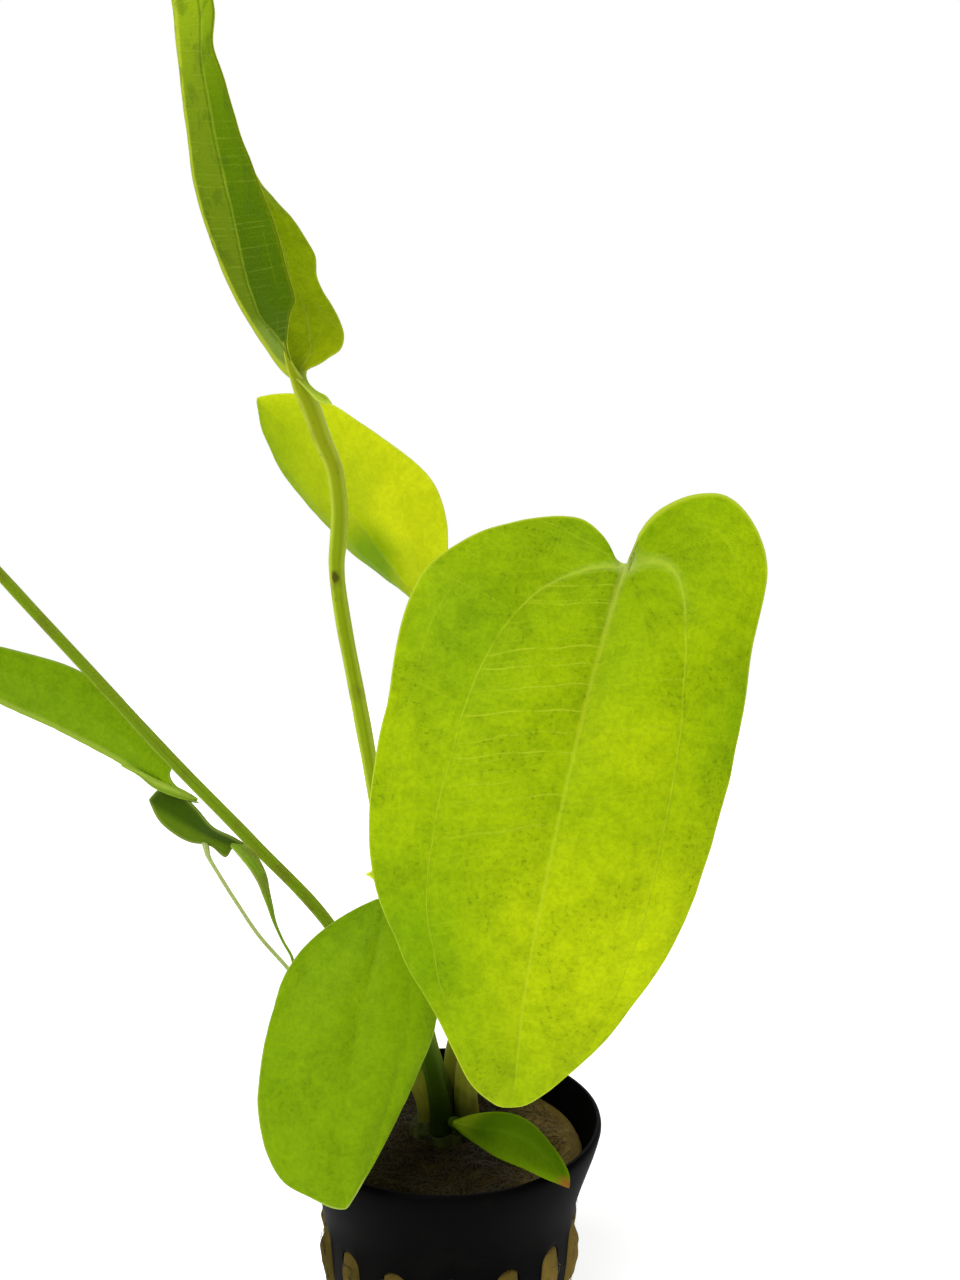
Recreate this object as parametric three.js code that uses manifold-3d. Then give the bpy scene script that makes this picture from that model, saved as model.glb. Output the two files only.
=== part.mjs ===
// Creeping burhead, a heart-leaved marsh plant, grown above water in a standard 50 mm net pot.
// Millimetres and degrees, +Z up. The origin is the centre of the pot's underside and -Y is the front.
import * as THREE from 'three'
import { mergeVertices } from 'three/addons/utils/BufferGeometryUtils.js'
import Module from 'manifold-3d'

const wasm = await Module()
wasm.setup()

// Space kept between two pieces that touch
const gap = 0.3

// Net pot
const potHeight = 50
const rimRadius = 27.5
const collarRadius = 22.9
const footRadius = 18.2
const flareStart = 36.5
const wallThickness = 1.1
const floorThickness = 1.6
const potSides = 45
const slotCount = 15
const slotWidth = 4.5
const slotTurn = 2.3
const slotRows = [{ bottom: 20.5, top: 34.2 }, { bottom: 4.6, top: 17.6 }]
const floorSlotCount = 6
const floorSlotReach = [8.5, 15]

// Rock wool plug, filled nearly to the rim and pressed out through the slots
const woolTop = 44.6
const woolSides = 20
const woolBulge = 1.3
const woolLumps = [
  { x: 17, y: -3, height: 1.2, radius: 7 },
  { x: 12, y: 15, height: 0.9, radius: 8 },
  { x: -11, y: -12, height: 1.0, radius: 8 },
  { x: -16, y: 6, height: 0.8, radius: 7 },
  { x: 4, y: -16, height: -1.0, radius: 7 },
  { x: -3, y: 18, height: -0.7, radius: 6 },
]

// Crown, the short rosette base that every leaf stalk grows from
const crownCentre = { x: -1.2, y: 4.6 }
const crownRadius = 7
const crownBottom = 40.5
const crownTop = 46.6

// Leaves. A blade is spanned from its midrib to its two edge curves, all three from stalk to tip. Its left
// and right halves belly out by bulge and the whole blade by arch, towards the upper face where positive.
const bladeThickness = 0.9
const leaves = {
  front_leaf: {
    color: 0x8fb40f, rows: 20, columns: 10, bulge: [1.6, 1.6],
    rib: [[26.9, -33.8, 147.5], [22.6, -39, 134.8], [18.6, -43, 121], [14.7, -46, 105.1],
      [11.9, -45, 89.9], [10, -41, 70.5]],
    left: [[26.9, -33.8, 147.5], [24.7, -32.4, 150.1], [23.4, -31.6, 152.4], [20.8, -30.2, 154.5],
      [14.7, -29, 155], [6.3, -30.5, 152.9], [-1.1, -33.5, 148.1], [-4.1, -34.9, 144.2],
      [-5.9, -36, 139.8], [-7.8, -38.5, 127.6], [-10.2, -40.5, 113.6], [-9.1, -41.5, 101.9],
      [-5.2, -42.5, 92.4], [-0.3, -43, 83.6], [4.1, -42.5, 74.8], [6.9, -41.6, 71.8], [10, -41, 70.5]],
    right: [[26.9, -33.8, 147.5], [28.9, -33.3, 148.5], [29, -32.4, 150.7], [31.3, -30.3, 154.7],
      [33.6, -29.1, 156.6], [38, -27.5, 158.5], [43.4, -27.5, 158.3], [47, -29.5, 154.5],
      [48.1, -33.5, 146.6], [45.1, -36.5, 134.7], [42.1, -39.5, 122], [38, -42.5, 108.4],
      [32.4, -43.5, 94.8], [25.2, -43.5, 83.8], [16.6, -42, 74.6], [13.9, -41.6, 72.4], [10, -41, 70.5]],
  },
  low_left_leaf: {
    color: 0x7d9f14, rows: 16, columns: 8, bulge: [1.2, 1.2],
    rib: [[-10, -19, 94.2], [-10.9, -24, 86.4], [-13, -28, 77.7], [-14.1, -31, 69.8], [-14.9, -33, 61.8],
      [-14.3, -34, 52.1]],
    left: [[-10, -19, 94.2], [-12.2, -18.5, 93.4], [-16.6, -19, 91.4], [-21.9, -21, 87.5],
      [-25.7, -24, 82.4], [-27.5, -27, 75.7], [-28.1, -30, 67.1], [-27, -31.5, 60.3],
      [-23.9, -32.8, 55.5], [-19.4, -33.7, 53.6], [-16.7, -33.9, 52.5], [-14.3, -34, 52.1]],
    right: [[-10, -19, 94.2], [-7.3, -18, 92.6], [-2.7, -19, 88.5], [-0.3, -21, 82.2],
      [-1.5, -23.5, 75.6], [-5, -27, 67.2], [-8.9, -30, 60.2], [-12.1, -32.4, 55.5], [-14.3, -34, 52.1]],
  },
  upper_leaf: {
    color: 0x6f9414, rows: 22, columns: 8, bulge: [-1.6, -0.4],
    rib: [[-24.2, -20, 177.9], [-26.9, -20.5, 180.3], [-29.4, -21, 183.8], [-33.6, -22, 191],
      [-37.3, -23.7, 199.6], [-39.2, -25.4, 208], [-40.1, -27, 216.8], [-40.5, -28.6, 225.2],
      [-41.3, -30, 233.4], [-42.5, -31.7, 242.8], [-43.3, -33, 251.5]],
    left: [[-24.2, -20, 177.9], [-21.4, -22, 175.1], [-17.9, -24, 173.4], [-18.4, -23, 174.9],
      [-21.4, -20.5, 176.5], [-23.1, -18, 179.3], [-21.5, -15, 182.4], [-18.8, -13, 185.4],
      [-18, -11.5, 188.6], [-20.2, -10, 194.9], [-22.5, -9, 201.9], [-25.8, -9, 208.3],
      [-32.2, -10, 215.3], [-37.2, -12, 224.9], [-40, -14, 234], [-40.8, -17, 242.1],
      [-41.5, -23, 249.2], [-43.3, -33, 251.5]],
    right: [[-24.2, -20, 177.9], [-24.7, -22.5, 180.6], [-24.7, -26, 181.9], [-24, -29, 182.9],
      [-23, -32.5, 183.7], [-22.1, -35.5, 184.4], [-21.4, -37.3, 185.3], [-22.4, -39, 190.4],
      [-23.8, -40.5, 195.4], [-25.7, -41, 200.5], [-27.8, -41, 206.4], [-29.9, -40.5, 212.3],
      [-31.9, -39.5, 220], [-33, -38, 228.1], [-35.6, -36, 238.2], [-40, -34, 247.8], [-43.3, -33, 251.5]],
  },
  back_leaf: {
    color: 0xb3c41c, rows: 12, columns: 8, bulge: [-1.5, -1.5],
    rib: [[-4.3, 21, 141.5], [-11.9, 21, 151.6], [-22.3, 22, 165], [-31.8, 23, 177.6], [-40.9, 24, 186.6]],
    left: [[-4.3, 21, 141.5], [-7, 24.5, 143.3], [-9.6, 27.5, 145.5], [-15.8, 31.5, 150],
      [-23.5, 33.5, 156.5], [-27.9, 34, 161.4], [-37.1, 32, 172.4], [-40.8, 29, 180.3], [-40.9, 24, 186.6]],
    right: [[-4.3, 21, 141.5], [-2.4, 17.5, 145.3], [-1.2, 14, 150], [-0.7, 12, 154.8],
      [-1.1, 10.5, 160.1], [-4, 10, 167.6], [-11.3, 11.5, 174.1], [-17.8, 14, 178.9],
      [-24.2, 16.5, 183.4], [-31.6, 20, 186.3], [-36.8, 22.5, 187], [-40.9, 24, 186.6]],
  },
  left_leaf: {
    color: 0x86a41c, rows: 12, columns: 8, bulge: [-1.4, -1.4],
    rib: [[-45.8, 0, 106.3], [-54.4, 1, 109.8], [-63.2, 2.5, 114.5], [-73.2, 4, 119.2],
      [-85.4, 6, 124.3], [-97.9, 8, 129.7], [-109.7, 10, 133.9]],
    left: [[-45.8, 0, 106.3], [-51.1, 4, 107.4], [-59.3, 10, 112], [-71.8, 17, 119.7], [-86.7, 21, 126],
      [-100.6, 20, 131.1], [-109.7, 10, 133.9]],
    right: [[-45.8, 0, 106.3], [-48.1, -0.7, 108.1], [-50.6, -1, 110.6], [-50.7, -0.9, 113],
      [-54.7, -0.5, 118.3], [-56.2, 0, 120.9], [-66.1, 1, 129.4], [-75.6, 2, 133], [-83.9, 3, 134.9],
      [-96.2, 5, 137.3], [-109.7, 10, 133.9]],
  },
  far_left_leaf: {
    color: 0x86a81a, rows: 12, columns: 8, bulge: [-1.2, -1.2],
    rib: [[-92, -9.5, 163.3], [-98, -11, 170], [-108, -13.5, 177], [-120, -16, 181], [-133, -18, 181],
      [-145, -19.5, 177]],
    left: [[-92, -9.5, 163.3], [-90.5, -5, 164.5], [-91.5, 2, 168.5], [-98, 8, 173.5],
      [-109, 9.5, 178.5], [-122, 5, 182], [-135, -6, 181.5], [-145, -19.5, 177]],
    right: [[-92, -9.5, 163.3], [-90.5, -14, 163], [-92, -22, 165.5], [-98.5, -30, 169.5],
      [-109, -34, 174], [-122, -33, 178], [-135, -27, 179.5], [-145, -19.5, 177]],
  },
  small_leaf: {
    color: 0x7f9a1e, rows: 12, columns: 6, bulge: [0.3, 0.3], arch: 0.4,
    rib: [[0.1, -2, 48.8], [6, -9, 51.1], [12.2, -16, 53], [16.6, -23, 52.9], [19.3, -27, 51.2]],
    left: [[0.1, -2, 48.8], [3.2, -8, 49.2], [8, -15, 49.8], [12.3, -21, 51], [15.7, -25, 51.6],
      [19.3, -27, 51.2]],
    right: [[0.1, -2, 48.8], [5, -2.6, 50.6], [10.5, -5, 51.9], [14.6, -8.5, 51.8], [17.6, -15, 51.3],
      [19.5, -23.5, 51.4], [19.3, -27, 51.2]],
  },
}

// The left leaf's basal lobe, curled under the blade and grown onto it
const curledLobe = {
  rows: 10, columns: 4, bulge: [0, 0], arch: 1.5,
  rib: [[-36.3, 0, 97.7], [-42, 1, 99.7], [-49, 1.5, 103.3], [-55.8, 2, 106.7]],
  left: [[-36.3, 0, 97.7], [-39.1, -1, 100.1], [-43.2, -1.2, 102.2], [-46.3, -0.7, 105.6],
    [-49.5, 0.3, 108.1], [-53.4, 1, 108.8], [-55.8, 2, 106.7]],
  right: [[-36.3, 0, 97.7], [-40.3, 2, 97.7], [-41.7, 2.5, 95.9], [-44.6, 3, 97.8], [-49, 3.5, 98.7],
    [-54.1, 3, 102.5], [-55.8, 2, 106.7]],
}

// Leaf stalks, each a route from the crown to its blade with the radii at its two ends
const stalkSides = 8
const stalks = {
  front_leaf_stalk: {
    color: 0x8f9440, steps: 16, radii: [2, 1.2],
    path: [[3.4, 4.6, 47.05], [3.3, 4.6, 50], [4, 4.8, 57], [5.4, 5, 64], [11.1, 4, 91.2],
      [19.9, -3, 121.8], [25.7, -14, 139.6], [27.1, -25, 145.4], [26.6, -32.5, 146.5]],
  },
  upper_leaf_stalk: {
    color: 0x76902a, steps: 18, radii: [1.9, 1.25],
    path: [[-1.2, 4.6, 47.05], [-1.4, 4.6, 50], [-3.9, 4, 59.4], [-10.3, 0.5, 90.3], [-13.9, -3, 111.9],
      [-16.1, -5.5, 125.6], [-18.4, -8.4, 139.7], [-19.2, -10.2, 149], [-18.4, -12.3, 157.8],
      [-19.1, -14, 165.3], [-21.5, -16.4, 171.8], [-23.4, -19.2, 176.8]],
  },
  low_left_leaf_stalk: {
    color: 0x5f7d20, steps: 10, radii: [1.8, 1.1],
    path: [[-2.4, 0.5, 47.05], [-2.5, 0.4, 50], [-3.8, -2, 60.2], [-7.1, -8, 75.9], [-9.2, -14, 89],
      [-9.9, -17.8, 93.4]],
  },
  back_leaf_stalk: {
    color: 0x7f9a2a, steps: 12, radii: [1.8, 1.2],
    path: [[1.1, 8.6, 47.05], [1.2, 8.6, 50], [4, 10, 68], [5.5, 13, 92], [3.5, 17, 118],
      [-1.5, 20.2, 134], [-4.15, 20.95, 141.05]],
  },
  far_left_leaf_stalk: {
    color: 0x7d9a2c, steps: 18, radii: [1.45, 0.95],
    path: [[-5, 4.4, 47.05], [-5.3, 4.3, 50], [-9.5, 3.4, 60], [-22, 0, 84], [-36, -2.5, 100.1],
      [-49.5, -4.5, 114.8], [-62.1, -6, 129.1], [-74.5, -7.5, 143.2], [-88.3, -9, 159.1],
      [-91.7, -9.4, 163]],
  },
  small_leaf_stalk: {
    color: 0x7f8f30, steps: 4, radii: [1.3, 0.9],
    path: [[1.1, 0.6, 47.05], [1.1, 0.55, 47.6], [0.8, -0.4, 48.3], [0.2, -1.5, 48.7]],
  },
}

// The left leaf's stalk is whole near the crown and torn into two strands above it
const tornStalk = {
  color: 0x8f9c48,
  lower: {
    steps: 10, radii: [1.8, 1.2],
    path: [[-3.5, 8.6, 47.05], [-3.8, 8.7, 49.5], [-12, 9, 57], [-22.4, 5, 67], [-28.9, 0, 75]],
  },
  thinStrand: {
    steps: 8, radii: [0.6, 0.4],
    path: [[-28.3, 0.1, 74.2], [-29.8, 0, 76.4], [-35.3, 0, 82.4], [-39.2, 0, 87.9], [-42.5, 0.4, 92.9],
      [-44.9, 1.4, 96.3]],
  },
  thickStrand: {
    steps: 10, radii: [0.35, 1.2],
    path: [[-28.5, 0.1, 74.4], [-28.9, 0, 78], [-31.6, -0.3, 83.5], [-32.8, -0.6, 87.7],
      [-34.3, -0.7, 92.8], [-36.2, -0.6, 96.7]],
  },
}

const curveThrough = (points) => new THREE.CatmullRomCurve3(points.map((p) => new THREE.Vector3(...p)))

const material = (color, roughness) => new THREE.MeshStandardMaterial({ color, roughness, metalness: 0 })

function toSolid(geometry) {
  const bare = geometry.clone()
  bare.deleteAttribute('normal')
  bare.deleteAttribute('uv')
  const merged = mergeVertices(bare, 1e-4)
  return new wasm.Manifold(new wasm.Mesh({
    numProp: 3,
    vertProperties: new Float32Array(merged.attributes.position.array),
    triVerts: new Uint32Array(merged.index.array),
  }))
}

function toGeometry(solid) {
  const mesh = solid.getMesh()
  const geometry = new THREE.BufferGeometry()
  geometry.setAttribute('position', new THREE.BufferAttribute(new Float32Array(mesh.vertProperties), 3))
  geometry.setIndex(new THREE.BufferAttribute(new Uint32Array(mesh.triVerts), 1))
  geometry.computeVertexNormals()
  return geometry
}

// Middle surface of a blade: one row of points per step along it, from the left edge to the right
function bladeRows({ rib, left, right, bulge, arch = 0, rows, columns }) {
  const curves = { rib: curveThrough(rib), left: curveThrough(left), right: curveThrough(right) }
  const grid = []
  for (let i = 0; i <= rows; i += 1) {
    const s = i / rows
    const middle = curves.rib.getPointAt(s)
    const tangent = curves.rib.getTangentAt(s)
    const row = []
    for (let j = 0; j <= columns; j += 1) {
      const across = (2 * j) / columns - 1
      const edge = (across < 0 ? curves.left : curves.right).getPointAt(s)
      const outward = edge.clone().sub(middle)
      const upward = tangent.clone().cross(outward).multiplyScalar(Math.sign(across)).normalize()
      const reach = Math.abs(across)
      const belly = bulge[across < 0 ? 0 : 1] * 4 * reach * (1 - reach) + arch * (1 - reach * reach)
      const lift = belly * Math.sin(Math.PI * s)
      row.push(middle.clone().addScaledVector(outward, reach).addScaledVector(upward, lift))
    }
    grid.push(row)
  }
  return grid
}

// Closed blade, full thickness inside and brought to an edge all round
function bladeGeometry(leaf) {
  const grid = bladeRows(leaf)
  const { rows, columns } = leaf
  const positions = []
  const add = (point) => positions.push(point.x, point.y, point.z) / 3 - 1
  const upper = []
  const lower = []
  for (let i = 0; i <= rows; i += 1) {
    upper.push([])
    lower.push([])
    for (let j = 0; j <= columns; j += 1) {
      const tip = i === 0 || i === rows
      if (tip && j > 0) {
        upper[i].push(upper[i][0])
        lower[i].push(upper[i][0])
      } else if (tip || j === 0 || j === columns) {
        const index = add(grid[i][j])
        upper[i].push(index)
        lower[i].push(index)
      } else {
        const along = grid[i + 1][j].clone().sub(grid[i - 1][j])
        const side = grid[i][j + 1].clone().sub(grid[i][j - 1])
        const normal = along.cross(side).normalize()
        upper[i].push(add(grid[i][j].clone().addScaledVector(normal, bladeThickness / 2)))
        lower[i].push(add(grid[i][j].clone().addScaledVector(normal, -bladeThickness / 2)))
      }
    }
  }
  const indices = []
  const addFace = (a, b, c) => {
    if (a !== b && b !== c && c !== a) indices.push(a, b, c)
  }
  for (let i = 0; i < rows; i += 1) {
    for (let j = 0; j < columns; j += 1) {
      addFace(upper[i][j], upper[i + 1][j], upper[i + 1][j + 1])
      addFace(upper[i][j], upper[i + 1][j + 1], upper[i][j + 1])
      addFace(lower[i][j], lower[i + 1][j + 1], lower[i + 1][j])
      addFace(lower[i][j], lower[i][j + 1], lower[i + 1][j + 1])
    }
  }
  const geometry = new THREE.BufferGeometry()
  geometry.setAttribute('position', new THREE.Float32BufferAttribute(positions, 3))
  geometry.setIndex(indices)
  geometry.computeVertexNormals()
  return geometry
}

// Round stalk of unit radius along its route, then drawn in to its radius at each step
function stalkGeometry({ path, radii, steps }) {
  const route = curveThrough(path)
  const section = new THREE.Shape()
  section.absarc(0, 0, 1, 0, 2 * Math.PI, false)
  const options = { steps, curveSegments: stalkSides / 2, bevelEnabled: false, extrudePath: route }
  const geometry = new THREE.ExtrudeGeometry(section, options)
  const centres = route.getSpacedPoints(steps)
  const position = geometry.attributes.position
  for (let i = 0; i < position.count; i += 1) {
    const vertex = new THREE.Vector3().fromBufferAttribute(position, i)
    const distances = centres.map((centre) => centre.distanceTo(vertex))
    const step = distances.indexOf(Math.min(...distances))
    const radius = THREE.MathUtils.lerp(radii[0], radii[1], step / steps)
    vertex.sub(centres[step]).multiplyScalar(radius).add(centres[step])
    position.setXYZ(i, vertex.x, vertex.y, vertex.z)
  }
  geometry.computeVertexNormals()
  return geometry
}

// Solid turned about the Z axis from radius and height pairs, both ends on the axis
function turned(profile, sides) {
  const geometry = new THREE.LatheGeometry(profile.map(([r, z]) => new THREE.Vector2(r, z)), sides)
  return geometry.rotateX(Math.PI / 2)
}

const slotAngle = (k) => THREE.MathUtils.degToRad(slotTurn - 90 + (k * 360) / slotCount)

function netPot() {
  const inner = collarRadius - wallThickness
  const profile = [
    [0, 0], [footRadius - 0.7, 0], [footRadius, 0.7], [collarRadius - 0.3, flareStart - 4],
    [collarRadius + 0.2, flareStart], [rimRadius - 2, potHeight - 7], [rimRadius - 0.3, potHeight - 2.2],
    [rimRadius, potHeight - 0.8], [rimRadius - 0.3, potHeight], [rimRadius - 1, potHeight],
    [rimRadius - 1.5, potHeight - 2.4], [rimRadius - 3.1, potHeight - 6.7], [inner + 0.2, flareStart + 0.3],
    [inner - 0.2, flareStart - 4], [footRadius - wallThickness + 0.2, floorThickness + 1.5],
    [footRadius - wallThickness - 0.6, floorThickness], [0, floorThickness],
  ]
  let pot = toSolid(turned(profile, potSides))
  for (const row of slotRows) {
    for (let k = 0; k < slotCount; k += 1) {
      const cutter = new THREE.BoxGeometry(rimRadius, slotWidth, row.top - row.bottom)
      cutter.translate(rimRadius, 0, (row.top + row.bottom) / 2).rotateZ(slotAngle(k))
      pot = pot.subtract(toSolid(cutter))
    }
  }
  const [near, far] = floorSlotReach
  for (let k = 0; k < floorSlotCount; k += 1) {
    const cutter = new THREE.BoxGeometry(far - near, slotWidth, 3 * floorThickness)
    cutter.translate((near + far) / 2, 0, 0).rotateZ((k * 2 * Math.PI) / floorSlotCount)
    pot = pot.subtract(toSolid(cutter))
  }
  return toGeometry(pot)
}

function rockWool() {
  const inner = collarRadius - wallThickness
  const profile = [
    [0, floorThickness + gap], [footRadius - wallThickness - 1.2, floorThickness + gap],
    [footRadius - wallThickness - 0.2, floorThickness + 1.8], [inner - 0.6, flareStart - 4],
    [inner - 0.2, flareStart], [rimRadius - 4.1, woolTop - 3], [rimRadius - 4.1, woolTop - 1],
    [rimRadius - 6, woolTop], [16, woolTop], [11, woolTop], [0, woolTop],
  ]
  const body = turned(profile, woolSides)
  const position = body.attributes.position
  for (let i = 0; i < position.count; i += 1) {
    if (position.getZ(i) < woolTop - 0.1) continue
    let lift = 0
    for (const lump of woolLumps) {
      const away = Math.hypot(position.getX(i) - lump.x, position.getY(i) - lump.y)
      lift += lump.height * Math.exp(-((away / lump.radius) ** 2))
    }
    position.setZ(i, position.getZ(i) + lift)
  }
  let wool = toSolid(body)
  for (const row of slotRows) {
    const half = (row.top - row.bottom) / 2 - gap
    const middle = (row.top + row.bottom) / 2
    const wall = THREE.MathUtils.lerp(footRadius, collarRadius, middle / flareStart)
    for (let k = 0; k < slotCount; k += 1) {
      const bulge = new THREE.SphereGeometry(1, 6, 3).rotateX(Math.PI / 2)
      bulge.scale(half * 0.5, slotWidth / 2 - gap, half)
      bulge.rotateY((footRadius - collarRadius) / -flareStart)
      bulge.translate(wall + woolBulge - half * 0.5, 0, middle).rotateZ(slotAngle(k))
      wool = wool.add(toSolid(bulge))
    }
  }
  const pit = turned([
    [0, crownBottom - gap], [crownRadius + gap, crownBottom - gap], [crownRadius + gap, potHeight],
    [0, potHeight],
  ], 16)
  return toGeometry(wool.subtract(toSolid(pit.translate(crownCentre.x, crownCentre.y, 0))))
}

function crown() {
  const profile = [
    [0, crownBottom], [crownRadius - 1, crownBottom], [crownRadius, crownBottom + 1.5],
    [crownRadius, crownTop - 0.9],
    [crownRadius - 0.4, crownTop], [0, crownTop],
  ]
  return turned(profile, 16).translate(crownCentre.x, crownCentre.y, 0)
}

function leafGeometry(name) {
  const blade = bladeGeometry(leaves[name])
  if (name !== 'left_leaf') return blade
  return toGeometry(toSolid(blade).add(toSolid(bladeGeometry(curledLobe))))
}

function tornStalkGeometry() {
  const [lower, thin, thick] = [tornStalk.lower, tornStalk.thinStrand, tornStalk.thickStrand]
    .map((branch) => toSolid(stalkGeometry(branch)))
  return toGeometry(lower.add(thin).add(thick))
}

const group = new THREE.Group()
const addPiece = (name, geometry, color, roughness) => {
  const mesh = new THREE.Mesh(geometry, material(color, roughness))
  mesh.name = name
  group.add(mesh)
}

addPiece('net_pot', netPot(), 0x1c1c1e, 0.45)
addPiece('rock_wool_plug', rockWool(), 0x5e5232, 1)
addPiece('crown', crown(), 0x6b6a35, 0.7)
for (const [name, leaf] of Object.entries(leaves)) addPiece(name, leafGeometry(name), leaf.color, 0.5)
for (const [name, stalk] of Object.entries(stalks)) addPiece(name, stalkGeometry(stalk), stalk.color, 0.55)
addPiece('left_leaf_stalk', tornStalkGeometry(), tornStalk.color, 0.6)

export default group
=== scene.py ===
import math
import random

import bmesh
import bpy
import numpy as np
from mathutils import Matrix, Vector, noise


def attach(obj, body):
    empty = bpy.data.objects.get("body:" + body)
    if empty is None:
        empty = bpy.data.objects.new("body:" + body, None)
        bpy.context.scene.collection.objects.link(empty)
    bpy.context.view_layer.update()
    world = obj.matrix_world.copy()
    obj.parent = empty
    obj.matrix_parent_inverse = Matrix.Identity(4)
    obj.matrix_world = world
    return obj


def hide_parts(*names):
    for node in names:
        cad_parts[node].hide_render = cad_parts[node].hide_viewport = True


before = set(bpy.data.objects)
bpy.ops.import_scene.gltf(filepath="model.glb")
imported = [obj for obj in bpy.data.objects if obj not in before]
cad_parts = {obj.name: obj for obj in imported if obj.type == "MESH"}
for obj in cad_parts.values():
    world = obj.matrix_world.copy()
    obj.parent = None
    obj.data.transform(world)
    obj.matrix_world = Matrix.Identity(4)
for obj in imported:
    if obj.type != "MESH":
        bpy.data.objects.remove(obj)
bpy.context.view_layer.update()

# Creeping burhead in a 50 mm net pot. Sizes are in millimetres in the dictionaries and become metres
# when a mesh is made. The plant's curves are the ones that its solids are built on.
mm = 0.001
random.seed(7)
print("frame loaded:", len(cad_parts), "nodes")


# Small helpers

def linearColour(hexCode, alpha=1.0):  # sRGB hex to linear
    channels = [int(hexCode[i:i + 2], 16) / 255 for i in (0, 2, 4)]
    return tuple(c / 12.92 if c <= 0.04045 else ((c + 0.055) / 1.055) ** 2.4 for c in channels) + (alpha,)


def addNode(tree, kind, settings=None, links=None):  # a link comes from a socket or a node's first output
    node = tree.nodes.new("ShaderNode" + kind)
    for key, value in (settings or {}).items():
        if isinstance(key, str) and hasattr(node, key):
            setattr(node, key, value)
        else:
            node.inputs[key].default_value = value
    for key, source in (links or {}).items():
        socket = source.outputs[0] if isinstance(source, bpy.types.Node) else source
        tree.links.new(socket, node.inputs[key])
    return node


smooth = {"interpolation_type": "SMOOTHSTEP"}
product = {"operation": "MULTIPLY"}
productSum = {"operation": "MULTIPLY_ADD"}  # input 0 times input 1, plus input 2


# Washes laid over a colour, in order: blend mode, colour, share, then what the share goes by. That is one
# or more masks, each alone or with where it starts, where it is full and its values there if not 0 and 1.
def layWashes(tree, colour, washes):
    for mode, shade, share, *masks in washes:
        amount = None
        for source, *edges in masks:
            if edges:
                start, full, low, high = (edges + [0.0, 1.0])[:4]
                source = addNode(tree, "MapRange", {
                    **smooth, "From Min": start, "From Max": full, "To Min": low, "To Max": high},
                    {"Value": source})
            if amount is not None:
                source = addNode(tree, "Math", product, {0: amount, 1: source})
            amount = source
        amount = addNode(tree, "Math", {**product, 1: share}, {0: amount})
        colour = addNode(tree, "Mix", {"data_type": "RGBA", "blend_type": mode, 7: linearColour(shade)},
                         {0: amount, 6: colour}).outputs[2]
    return colour


def newMaterial(name):
    material = bpy.data.materials.new(name)
    material.use_nodes = True
    material.node_tree.nodes.clear()
    return material, material.node_tree


def smoothStep(low, high, value):
    t = np.clip((value - low) / (high - low), 0, 1)
    return t * t * (3 - 2 * t)


def noiseField(points, size, seed=0.0):  # one value in -1..1 per point, size is the wavelength in mm
    shift = Vector((seed * 17.3, seed * 5.1, seed * 9.7))
    flat = points.reshape(-1, 3) / size
    values = np.array([noise.noise(Vector(p) + shift) for p in flat])
    return values.reshape(points.shape[:-1])


def curveThrough(points, perSpan=30):  # centripetal Catmull-Rom through all the points
    p = np.array(points, float)
    p = np.vstack([2 * p[0] - p[1], p, 2 * p[-1] - p[-2]])
    spans = []
    for i in range(1, len(p) - 2):
        a, b, c, d = p[i - 1:i + 3]
        ta = 0.0
        tb = ta + np.linalg.norm(b - a) ** 0.5
        tc = tb + np.linalg.norm(c - b) ** 0.5
        td = tc + np.linalg.norm(d - c) ** 0.5
        t = np.linspace(tb, tc, perSpan, endpoint=False)[:, None]
        ab = (tb - t) / (tb - ta) * a + (t - ta) / (tb - ta) * b
        bc = (tc - t) / (tc - tb) * b + (t - tb) / (tc - tb) * c
        cd = (td - t) / (td - tc) * c + (t - tc) / (td - tc) * d
        abc = (tc - t) / (tc - ta) * ab + (t - ta) / (tc - ta) * bc
        bcd = (td - t) / (td - tb) * bc + (t - tb) / (td - tb) * cd
        spans.append((tc - t) / (tc - tb) * abc + (t - tb) / (tc - tb) * bcd)
    return np.vstack(spans + [p[-2][None]])


def evenly(points, shares):  # points of the curve at these shares of its length
    dense = curveThrough(points)
    run = np.concatenate([[0], np.cumsum(np.linalg.norm(np.diff(dense, axis=0), axis=1))])
    places = np.asarray(shares) * run[-1]
    return np.stack([np.interp(places, run, dense[:, k]) for k in range(3)], axis=-1), run[-1]


def unit(vectors):
    return vectors / np.maximum(np.linalg.norm(vectors, axis=-1, keepdims=True), 1e-9)


def bandFaces(low, high, count):  # quads between two closed rings of points
    return [(low + k, low + (k + 1) % count, high + (k + 1) % count, high + k) for k in range(count)]


def makePiece(name, points, faces, materials, layers=None, faceMaterial=None):
    mesh = bpy.data.meshes.new(name)
    mesh.from_pydata((np.asarray(points) * mm).tolist(), [], faces)
    corners = np.empty(len(mesh.loops), np.int32)
    mesh.loops.foreach_get("vertex_index", corners)
    for layer, values in (layers or {}).items():
        values = np.asarray(values, np.float32)
        perCorner = values if len(values) == len(corners) and len(values) != len(points) else values[corners]
        mesh.uv_layers.new(name=layer).data.foreach_set("uv", perCorner.ravel())
    for material in materials:
        mesh.materials.append(material)
    if faceMaterial is not None:
        mesh.polygons.foreach_set("material_index", np.asarray(faceMaterial, np.int32))
    mesh.shade_smooth()
    mesh.update()
    piece = bpy.data.objects.new(name, mesh)
    bpy.context.scene.collection.objects.link(piece)
    return piece


def joinPieces(name, pieces):
    bpy.ops.object.select_all(action="DESELECT")
    for piece in pieces:
        piece.select_set(True)
    bpy.context.view_layer.objects.active = pieces[0]
    bpy.ops.object.join()
    pieces[0].name = name
    return pieces[0]


def dress(piece, node):
    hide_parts(node)
    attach(piece, "root")


# Leaf blades. rib runs from the stalk to the tip, and left and right are the margins between its ends.
# bulge bellies each half out towards the upper face, arch the whole blade. sideVeins gives the first side
# vein of each half and the second one, as shares of the half width at shares of the length.

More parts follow.
